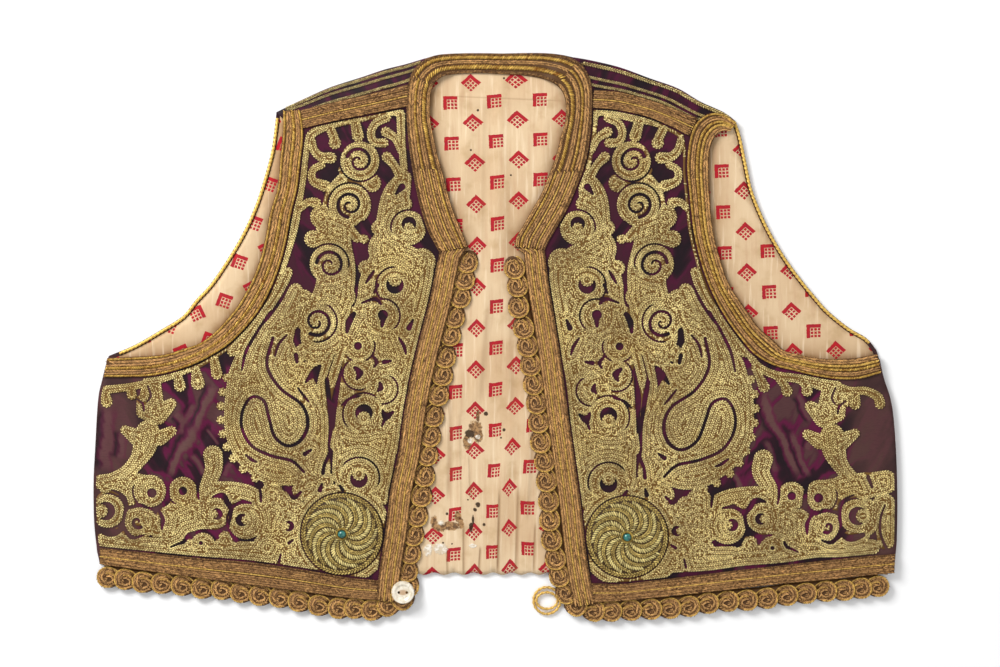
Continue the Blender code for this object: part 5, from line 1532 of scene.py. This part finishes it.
def band_rows(stations, bases, cords, shade=0.0):
    """Stitches of a band's cords, on lines between its inner and outer edges."""
    rows = []
    for share, width, kind in cords:
        line = stations[:, :2] * (1 - share) + stations[:, 2:] * share
        height = bases + BAND_PADDING - ROW_SINK
        if kind in ("braid", "dark"):
            rows.append(fibre_row(line, height, width, shade if kind == "braid" else DARKEST))
        else:
            rows.append(twisted_row(line, height, width, *((0.0, 1.0) if kind == "twist" else (0.45, 0.8))))
    return np.vstack(rows)


def band_ground(stations, bases, cords):
    """The closed padded strip under a band's cords, ridged where each of them lies."""
    shares = [0.0]
    rises = [0.45]
    for share, width, _ in cords:
        half = width / 2 / np.median(np.hypot(*(stations[:, :2] - stations[:, 2:]).T))
        shares += [max(share - half, 0.01), share, min(share + half, 0.99)]
        rises += [0.75, 1.0, 0.75]
    shares.append(1.0)
    rises.append(0.45)
    order = np.argsort(shares)
    sections = []
    for row, base in zip(stations, bases):
        inner, outer = np.array(place(*row[:2])), np.array(place(*row[2:]))
        top = [(*(inner + (outer - inner) * shares[k]), base + BAND_PADDING * rises[k]) for k in order]
        sections.append([*top, (*outer, base), (*inner, base)])
    return loft(sections)


def braid_thread(flow):
    """Taupe silk braid and gold twist, told apart by the gilding of each stitch."""
    gold = flow.attribute("gold")
    fleck = flow.noise(flow.places(), 1000.0, 2.0)
    colour = thread(flow, gold, (0.6, 0.62, fleck, 1.3), (dye(70, 38, 10), dye(244, 188, 116)),
                    (dye(130, 70, 6), dye(255, 216, 112)), dye(82, 52, 20), (55.0, 0.3, dye(156, 114, 74)))
    return {"Base Color": colour, "Metallic": gold * 0.45, "Roughness": 0.62 - gold * 0.22,
            "Normal": flow.bump(fleck, 0.3, 0.0002)}


braid_finish = finish("silk braid", {"Specular IOR Level": 0.3}, braid_thread)
# The bands butt against each other: further stations that close their corners.
CLOSING = {"shoulder_band_left": ((300.8, 110, 303.6, 128.3), (408.3, 84.4, 406.6, 106.7)),
           "shoulder_band_right": (None, (698, 118, 689, 136)),
           "hem_band_left": (None, (378.2, 580.3, 376.3, 600)),
           "hem_band_right": ((591.4, 583.1, 595.1, 602.1), None),
           "front_band_left": ((439.1, 252.5, 467.6, 247.7), None),
           "front_band_right": ((544.9, 250.5, 515.4, 247.6), None)}
bands = {"neck_band": (smooth_rows(NECK_BAND, 4), NECK_CORDS),
         "armhole_band_left": (smooth_rows(LEFT_ARMHOLE_BAND, 5), LEFT_ARMHOLE_CORDS),
         "armhole_band_right": (smooth_rows(RIGHT_ARMHOLE_BAND, 5), RIGHT_ARMHOLE_CORDS),
         "shoulder_band_left": (smooth_rows(LEFT_SHOULDER_BAND, 5), SHOULDER_CORDS),
         "shoulder_band_right": (smooth_rows(RIGHT_SHOULDER_BAND, 5), SHOULDER_CORDS),
         "hem_band_left": (smooth_rows(LEFT_HEM_BAND, 6), HEM_CORDS),
         "hem_band_right": (smooth_rows(RIGHT_HEM_BAND, 6), HEM_CORDS),
         "front_band_left": (np.hstack(front_edge("left")), FRONT_CORDS),
         "front_band_right": (np.hstack(front_edge("right")), FRONT_CORDS)}
for name, (stations, cords) in bands.items():
    before, after = CLOSING.get(name, (None, None))
    stations = np.vstack([*([before] if before else []), stations, *([after] if after else [])])
    bases = neck_floor(stations) if name == "neck_band" else np.full(len(stations), BAND_BOTTOM)
    if name == "neck_band":
        middle, half, lowest = BACK_NECK
        behind = (stations[:, 3] < lowest) & (abs(stations[:, 2] - middle) < half)
        behind |= stations[:, 3] < NECK_STEPS[2]
        first, last = np.flatnonzero(behind)[[0, -1]]
        low = np.flatnonzero(stations[:, 1] < LOWER_NECK)
        left, right = low[[0, -1]]
        parts = ((slice(None, left + 1), LOWER_NECK_CORDS), (slice(left, first + 1), NECK_CORDS),
                 (slice(first, last + 1), BACK_NECK_CORDS), (slice(last, right + 1), NECK_CORDS),
                 (slice(right, None), LOWER_NECK_CORDS))
        rows = np.vstack([band_rows(stations[part], bases[part], part_cords) for part, part_cords in parts])
    else:
        rows = band_rows(stations, bases, cords, WORN_SHADE if "hem" in name or "shoulder" in name else 0.0)
    piece = stitched_piece(f"{name}_cords", rows, braid_finish, band_ground(stations, bases, cords))
    set_faces_outwards(piece)
    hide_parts(name)


# ---------------------------------------------------------------- yoke rows
# Khaki cord is couched along the folded yoke strips between the fold and the shoulder band, in single
# and double rows with the purple silk bare between them.
# Rows: share of the way from the fold to the band at the armhole end and at the neck end, width.
YOKE_ROWS = {"left": ((0.1, 0.1, 3.2), (0.28, 0.28, 3.0), (0.62, 0.54, 3.4)),
             "right": ((0.1, 0.13, 4.2), (0.47, 0.45, 3.2), (0.66, 0.63, 3.2))}
YOKE_TONE = -0.3
for side, (fold, seam) in yokes.items():
    rows = []
    for armhole_share, neck_share, width in YOKE_ROWS[side]:
        near = (armhole_share, neck_share) if side == "left" else (neck_share, armhole_share)
        share = np.linspace(*near, len(fold))[:, None]
        line = fold * (1 - share) + seam * share
        rows.append(plaited_row(line[2:-1], FRONT_TOP + ROW_SINK, width, tone=YOKE_TONE))
    piece = stitched_piece(f"yoke_rows_{side}", np.vstack(rows), cord_finish)


# ---------------------------------------------------------------- armhole edge cords
# A thin gold cord of two twisted strands is sewn along each armhole edge of the back, half on the
# lining, and its ends go under the armhole band.
EDGE_CORD_HEIGHT = 0.00255
EDGE_CORD_RADIUS = 0.00105
EDGE_CORD_INSET = 1.9
CORD_SIDES = 10
CORD_TWIST = 0.0026             # length of one turn of a twisted cord


def twisted_cord(line, heights, radius, twist=CORD_TWIST):
    """A closed twisted two-strand cord along a line of the grid."""
    x, y = place(line[:, 0], line[:, 1])
    path = np.column_stack([x, y, heights])
    run = run_along(path)
    at = np.linspace(0, run[-1], max(int(run[-1] / twist * 6), 8))
    path = np.column_stack([np.interp(at, run, axis) for axis in path.T])
    along = directions(path)
    aside = np.cross(along, (0, 0, 1))
    aside /= np.linalg.norm(aside, axis=1)[:, None]
    above = np.cross(aside, along)
    turns = np.linspace(0, 2 * math.pi, CORD_SIDES, endpoint=False)
    spin = 2 * math.pi * at / twist
    reach = radius * (0.8 + 0.2 * np.cos(2 * (turns[None, :] - spin[:, None] / 2)))
    sections = (path[:, None] + reach[..., None] * (np.cos(turns)[None, :, None] * aside[:, None]
                                                    + np.sin(turns)[None, :, None] * above[:, None]))
    return loft(sections)


# Each cord: its line, the side of the line that it lies on, and the places left out at the shoulder.
for side, rows, hand, first in (("left", LEFT_ARMHOLE, 1, 1), ("right", RIGHT_ARMHOLE, -1, 0)):
    line = offset_line(smooth_rows(rows, 6), EDGE_CORD_INSET * hand)[first:-2]
    cord = twisted_cord(line, np.full(len(line), EDGE_CORD_HEIGHT), EDGE_CORD_RADIUS)
    piece = new_piece(f"armhole_edge_cord_{side}", *cord, braid_finish)
    set_faces_outwards(piece)
    give_thread(piece, 0.08, 1.0)
    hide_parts(f"armhole_cord_{side}")


# ---------------------------------------------------------------- curled loops
# Down each front edge and along its hem a flat taupe braid with a gilt edge leaves the band, sweeps
# round like a fish scale and coils inwards; each loop lies over the start of the next.
LEFT_LOOPS = (
    (467, 263), (464, 280), (460, 298), (454, 318), (450, 336), (445, 358), (442, 376), (438, 396),
    (433, 417), (430, 437), (427, 456), (424, 477), (421, 497), (417, 517), (413, 536), (410, 554),
    (407, 572), (408, 587), (402, 600), (387, 606), (371, 610), (354, 608), (338, 608), (318, 605),
    (298, 601), (279, 597), (259, 595), (240, 592), (221, 589), (201, 588), (181, 585), (161, 583),
    (142, 582), (124, 579), (107, 577)
)
RIGHT_LOOPS = (
    (515, 269), (518, 287), (519, 308), (524, 329), (528, 347), (531, 366), (534, 385), (537, 404),
    (539, 423), (541, 443), (545, 462), (547, 482), (549, 502), (550, 521), (552, 541), (556, 560),
    (560, 577), (567, 594), (577, 606), (595, 611), (612, 611), (632, 610), (652, 609), (671, 608),
    (690, 606), (709, 603), (729, 601), (748, 600), (768, 598), (788, 595), (807, 593), (827, 591),
    (845, 590), (862, 588), (879, 586)
)
LOOP_STEPS = 10.5               # outer radius of a loop
LOOP_STRETCH = 1.35             # how much longer a loop is towards the one before it
LOOP_FLOOR = 0.0028
LOOP_PADDING = 0.0007
LOOP_LIFT = 0.00045             # how far the far side of a loop lies over the next one
LOOP_BRAID_STEPS = 6.8
LOOP_EDGE_STEPS = 1.8
LOOP_SIDES = 14
LOOP_SHIFT = 1.8                # how far the coil's own middle lies off the loop's, away from the band
# The braid's way round: degrees, outer reach as a share of the loop's, width as a share of the braid's.
LOOP_TURN = (-70, 0, 150, 270, 360, 450, 570)
LOOP_REACHES = (1.0, 1.0, 0.98, 0.82, 0.6, 0.4, 0.2)
LOOP_WIDTHS = (1.0, 1.0, 1.0, 0.9, 0.72, 0.58, 0.44)
# The gilt rows on a loop's edge and the dark one in its coil: from and to, in degrees, inset, tone, gilding.
LOOP_EDGES = ((-70, 205, 0.7, 0.4, 0.8), (285, 380, 0.6, 0.2, 0.6), (375, 430, 1.2, -0.6, 0.0))
EDGE_LIFT = 0.00018             # how far those rows stand over the braid
COIL_RISE = 0.00025             # how far the coil's own turn stands over the outer one
# The padded disc under a loop, from its foot to its middle: radius, share of the padding's height.
LOOP_DISC = ((10, 0), (10, 0.5), (8.5, 1), (3, 1), (0.8, 1))
HEADER_HALF = 4                 # half width of the tape that joins the loops to the band, in grid steps
HEADER_THICK = 0.0005


def loop_places(middle, run, out, turn, reach):
    """Places round a loop's middle, from the band's side on in the direction of the row of loops."""
    back = np.where(np.sin(turn) < 0, LOOP_STRETCH, 1)
    drift = LOOP_SHIFT * np.clip((turn - 1.5) / 3, 0, 1)
    across = (drift - reach * np.cos(turn))[:, None] * out
    return middle + across + (reach * back * np.sin(turn))[:, None] * run


for side, places_of_loops in (("left", LEFT_LOOPS), ("right", RIGHT_LOOPS)):
    hand = 1 if side == "left" else -1
    middles = np.array(places_of_loops, float)
    along = directions(middles)
    outward = square_to(along) * hand
    rows = []
    shells = []
    height = LOOP_FLOOR + LOOP_PADDING
    for middle, run, out in zip(middles, along, outward):
        degrees = np.linspace(LOOP_TURN[0], LOOP_TURN[-1], 60)
        turn = np.radians(degrees)
        width = LOOP_BRAID_STEPS * np.interp(degrees, LOOP_TURN, LOOP_WIDTHS)
        reach = LOOP_STEPS * np.interp(degrees, LOOP_TURN, LOOP_REACHES)
        lift = LOOP_LIFT * np.sin(np.clip(turn, -1.1, math.pi))
        lift += np.interp(degrees, (200, 330), (0, COIL_RISE))
        line = loop_places(middle, run, out, turn, reach - width / 2)
        rows.append(fibre_row(line, height + lift - ROW_SINK, width))
        for first, last, inset, tone, gold in LOOP_EDGES:
            part = (degrees >= first) & (degrees <= last)
            line = loop_places(middle, run, out, turn, reach - inset)[part]
            rows.append(twisted_row(line, height + lift[part] + EDGE_LIFT, LOOP_EDGE_STEPS, tone, gold))
        ring = np.linspace(0, 2 * math.pi, LOOP_SIDES, endpoint=False)
        sections = []
        for reach_out, share in LOOP_DISC:
            x, y = place(*loop_places(middle, run, out, ring, np.full(LOOP_SIDES, reach_out)).T)
            over = LOOP_LIFT * np.sin(ring) * share
            sections.append(np.column_stack([x, y, LOOP_FLOOR + LOOP_PADDING * share + over]))
        shells.append(loft(sections))
    header = offset_line(smooth_rows(middles, 6), -hand * (LOOP_STEPS - 3))
    sections = []
    for spot, out in zip(header, offset_line(header, hand) - header):
        near, far = place(*(spot - out * HEADER_HALF)), place(*(spot + out * HEADER_HALF))
        top = LOOP_FLOOR + HEADER_THICK
        sections.append([(*near, LOOP_FLOOR), (*near, top), (*far, top), (*far, LOOP_FLOOR)])
    shells.append(loft(sections))
    vertices, faces = add_shells(*shells)
    piece = stitched_piece(f"curled_loops_{side}", np.vstack(rows), braid_finish, (np.array(vertices), faces))
    set_faces_outwards(piece)
    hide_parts(f"loops_{side}")


# ---------------------------------------------------------------- rosettes and beads
# A disc of coiled gold cord at each lower corner: a ring at the rim, curved blades of paler winding that
# swirl in to the middle between gold cords, and a turquoise bead sewn over the centre.
RIM_MIDDLE = 38.6               # the ring of cord round the rosette, in grid steps
RIM_WIDTH = 5.0
EYE_MIDDLE = 5.4                # the small ring round the bead
EYE_WIDTH = 2.6
BLADES = 10
# The cord and the pale winding of a blade: place in the blade's share of the turn, width, gilding, tone.
BLADE_CORDS = ((0.25, 0.46, 0.5, 0.2), (0.72, 0.54, 0.0, 0.5))
BLADE_SWIRL = 1.25              # how far round a blade ends from where it starts, in radians
BLADE_BEND = 2.4                # how much of that turn comes late, towards the rim
BLADE_START = 6.2               # where the blades start and end, in grid steps from the middle
BLADE_END = 35.3
ROSETTE_PADDING = 0.0005
WINDING_PITCH = 2.3             # grid steps from one turn of the pale thread to the next
WINDING_SLANT = -1.0
BEAD_RADIUS = 0.0024
BEAD_SQUASH = 0.8


def ring_line(middle, radius, points=48):
    turns = np.linspace(0, 2 * math.pi, points, endpoint=False)
    return np.array(middle, float) + radius * np.column_stack([np.cos(turns), np.sin(turns)])


def turned_profile(middle, profile, sides):
    """A closed turned shape from (radius in steps, height) pairs, lowest first."""
    sections = []
    for radius, height in profile:
        x, y = place(*ring_line(middle, radius, sides).T)
        sections.append(np.column_stack([x, y, np.full(sides, height)]))
    return loft(sections)


def bead_glass(flow):
    cloud = flow.noise(flow.places(), 900.0, 2.0)
    return {"Base Color": cloud.step(0.35, 0.7).blend(dye(10, 78, 74), dye(44, 132, 122))}


def slanted_row(line, height, width, tone):
    """A row of pale thread wound round and round, each turn as wide as the row."""
    spots, along, shares = even_walk(line, WINDING_PITCH, shift=0.5)
    wide = along_line(width, shares)
    return stitches(spots, along, height, WINDING_SLANT, wide * 1.25, WINDING_PITCH * 0.95, STITCH_RISE, tone)


def rosette_thread(flow):
    """Pale khaki winding and old gold cord."""
    gold = flow.attribute("gold")
    fleck = flow.noise(flow.places(), 1500.0, 2.0)
    colour = thread(flow, gold, (0.5, 0.5, fleck, 0.6), (dye(78, 54, 14), dye(255, 236, 158)),
                    (dye(112, 76, 12), dye(250, 214, 104)), dye(64, 46, 20))
    return {"Base Color": colour, "Metallic": gold * 0.3, "Roughness": 0.55 - gold * 0.15}


bead_finish = finish("turquoise bead", {"Roughness": 0.12, "Coat Weight": 0.6}, bead_glass)
rosette_finish = finish("rosette cord", {"Specular IOR Level": 0.3}, rosette_thread)
for side, middle in ROSETTES.items():
    height = BAND_BOTTOM + ROSETTE_PADDING
    rows = [plaited_row(ring_line(middle, RIM_MIDDLE), height, RIM_WIDTH, True, 0.1, 0.5),
            twisted_row(ring_line(middle, EYE_MIDDLE, 24), height + 0.0002, EYE_WIDTH, 0.1, 0.9, closed=True)]
    reach = np.linspace(BLADE_START, BLADE_END, 20)
    turned_by = BLADE_SWIRL * (reach / BLADE_END) ** BLADE_BEND
    across = reach * 2 * math.pi / BLADES / np.hypot(1, BLADE_BEND * turned_by)
    for number in range(BLADES):
        start = 2 * math.pi * number / BLADES
        for step, width, gold, tone in BLADE_CORDS:
            angle = start + 2 * math.pi * step / BLADES - turned_by
            line = np.array(middle) + reach[:, None] * np.column_stack([np.cos(angle), np.sin(angle)])
            if gold:
                rows.append(plaited_row(line, height + 0.0001, across * width, tone=tone, gold=gold))
            else:
                rows.append(slanted_row(line, height, across * width, tone))
    rim = ROSETTE_STEPS - 0.6
    profile = ((rim, BAND_BOTTOM - 0.0003), (rim, height - 0.0003), (rim - 1, height), (3, height))
    disc = turned_profile(middle, profile, 48)
    piece = stitched_piece(f"rosette_cord_{side}", np.vstack(rows), rosette_finish, disc)
    set_faces_outwards(piece)
    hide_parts(f"rosette_{side}")

    bpy.ops.object.select_all(action="DESELECT")
    bpy.ops.mesh.primitive_uv_sphere_add(segments=24, ring_count=14, radius=BEAD_RADIUS,
                                         location=(*place(*middle), BAND_BOTTOM + BEAD_RADIUS * BEAD_SQUASH))
    bead = bpy.context.object
    bead.name = f"turquoise_bead_{side}"
    bead.scale.z = BEAD_SQUASH
    bpy.ops.object.transform_apply(location=True, rotation=True, scale=True)
    bpy.ops.object.shade_smooth()
    bead.data.materials.append(bead_finish)
    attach(bead, "root")
    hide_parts(f"bead_{side}")


# ---------------------------------------------------------------- button and its loop
# A two-hole shell button is sewn to the lower corner of the left front, and a doubled cord ring
# under the corner of the right front takes it.
BUTTON = (403, 592)
BUTTON_LOOP = (547, 601)
RING_HEIGHT = 0.00135
RING_RADIUS = 0.0009
RING_TWIST = 0.003
# The ring's two turns: radius in grid steps, length as a share of the width, height over the lower one.
RING_TURNS = ((13.4, 1, 0.0), (10.6, 0.78, 0.0003))


def shell_pearl(flow):
    cloud = flow.noise(flow.places(), 260.0, 3.0, distortion=1.5)
    colour = cloud.step(0.35, 0.7).blend(dye(244, 236, 218), dye(212, 198, 172))
    x, y = flow.places().right_and_up()
    middle = place(*BUTTON)
    away = flow.math("POWER", (x - middle[0]) * 310.0, 2.0) + flow.math("POWER", (y - middle[1]) * 520.0, 2.0)
    thread = (away + cloud * 0.8).step(1.6, 0.7)
    colour = (thread * 0.75).blend(colour, dye(176, 132, 84))
    return {"Base Color": colour, "Roughness": 0.16 + cloud * 0.1}


pearl_finish = finish("shell", {"Coat Weight": 0.4, "Sheen Weight": 0.1}, shell_pearl)
button_object = bpy.data.objects["button"]
button_object.data.materials.clear()
button_object.data.materials.append(pearl_finish)

shells = []
for reach, stretch, lift in RING_TURNS:
    line = ring_line(BUTTON_LOOP, reach, 40)
    line[:, 1] = BUTTON_LOOP[1] + (line[:, 1] - BUTTON_LOOP[1]) * stretch
    heights = np.full(len(line) + 1, RING_HEIGHT + lift)
    shells.append(twisted_cord(np.vstack([line, line[:1]]), heights, RING_RADIUS, RING_TWIST))
piece = new_piece("button_ring_cord", *add_shells(*shells), braid_finish)
set_faces_outwards(piece)
give_thread(piece, 0.0, 0.8)
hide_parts("button_loop")
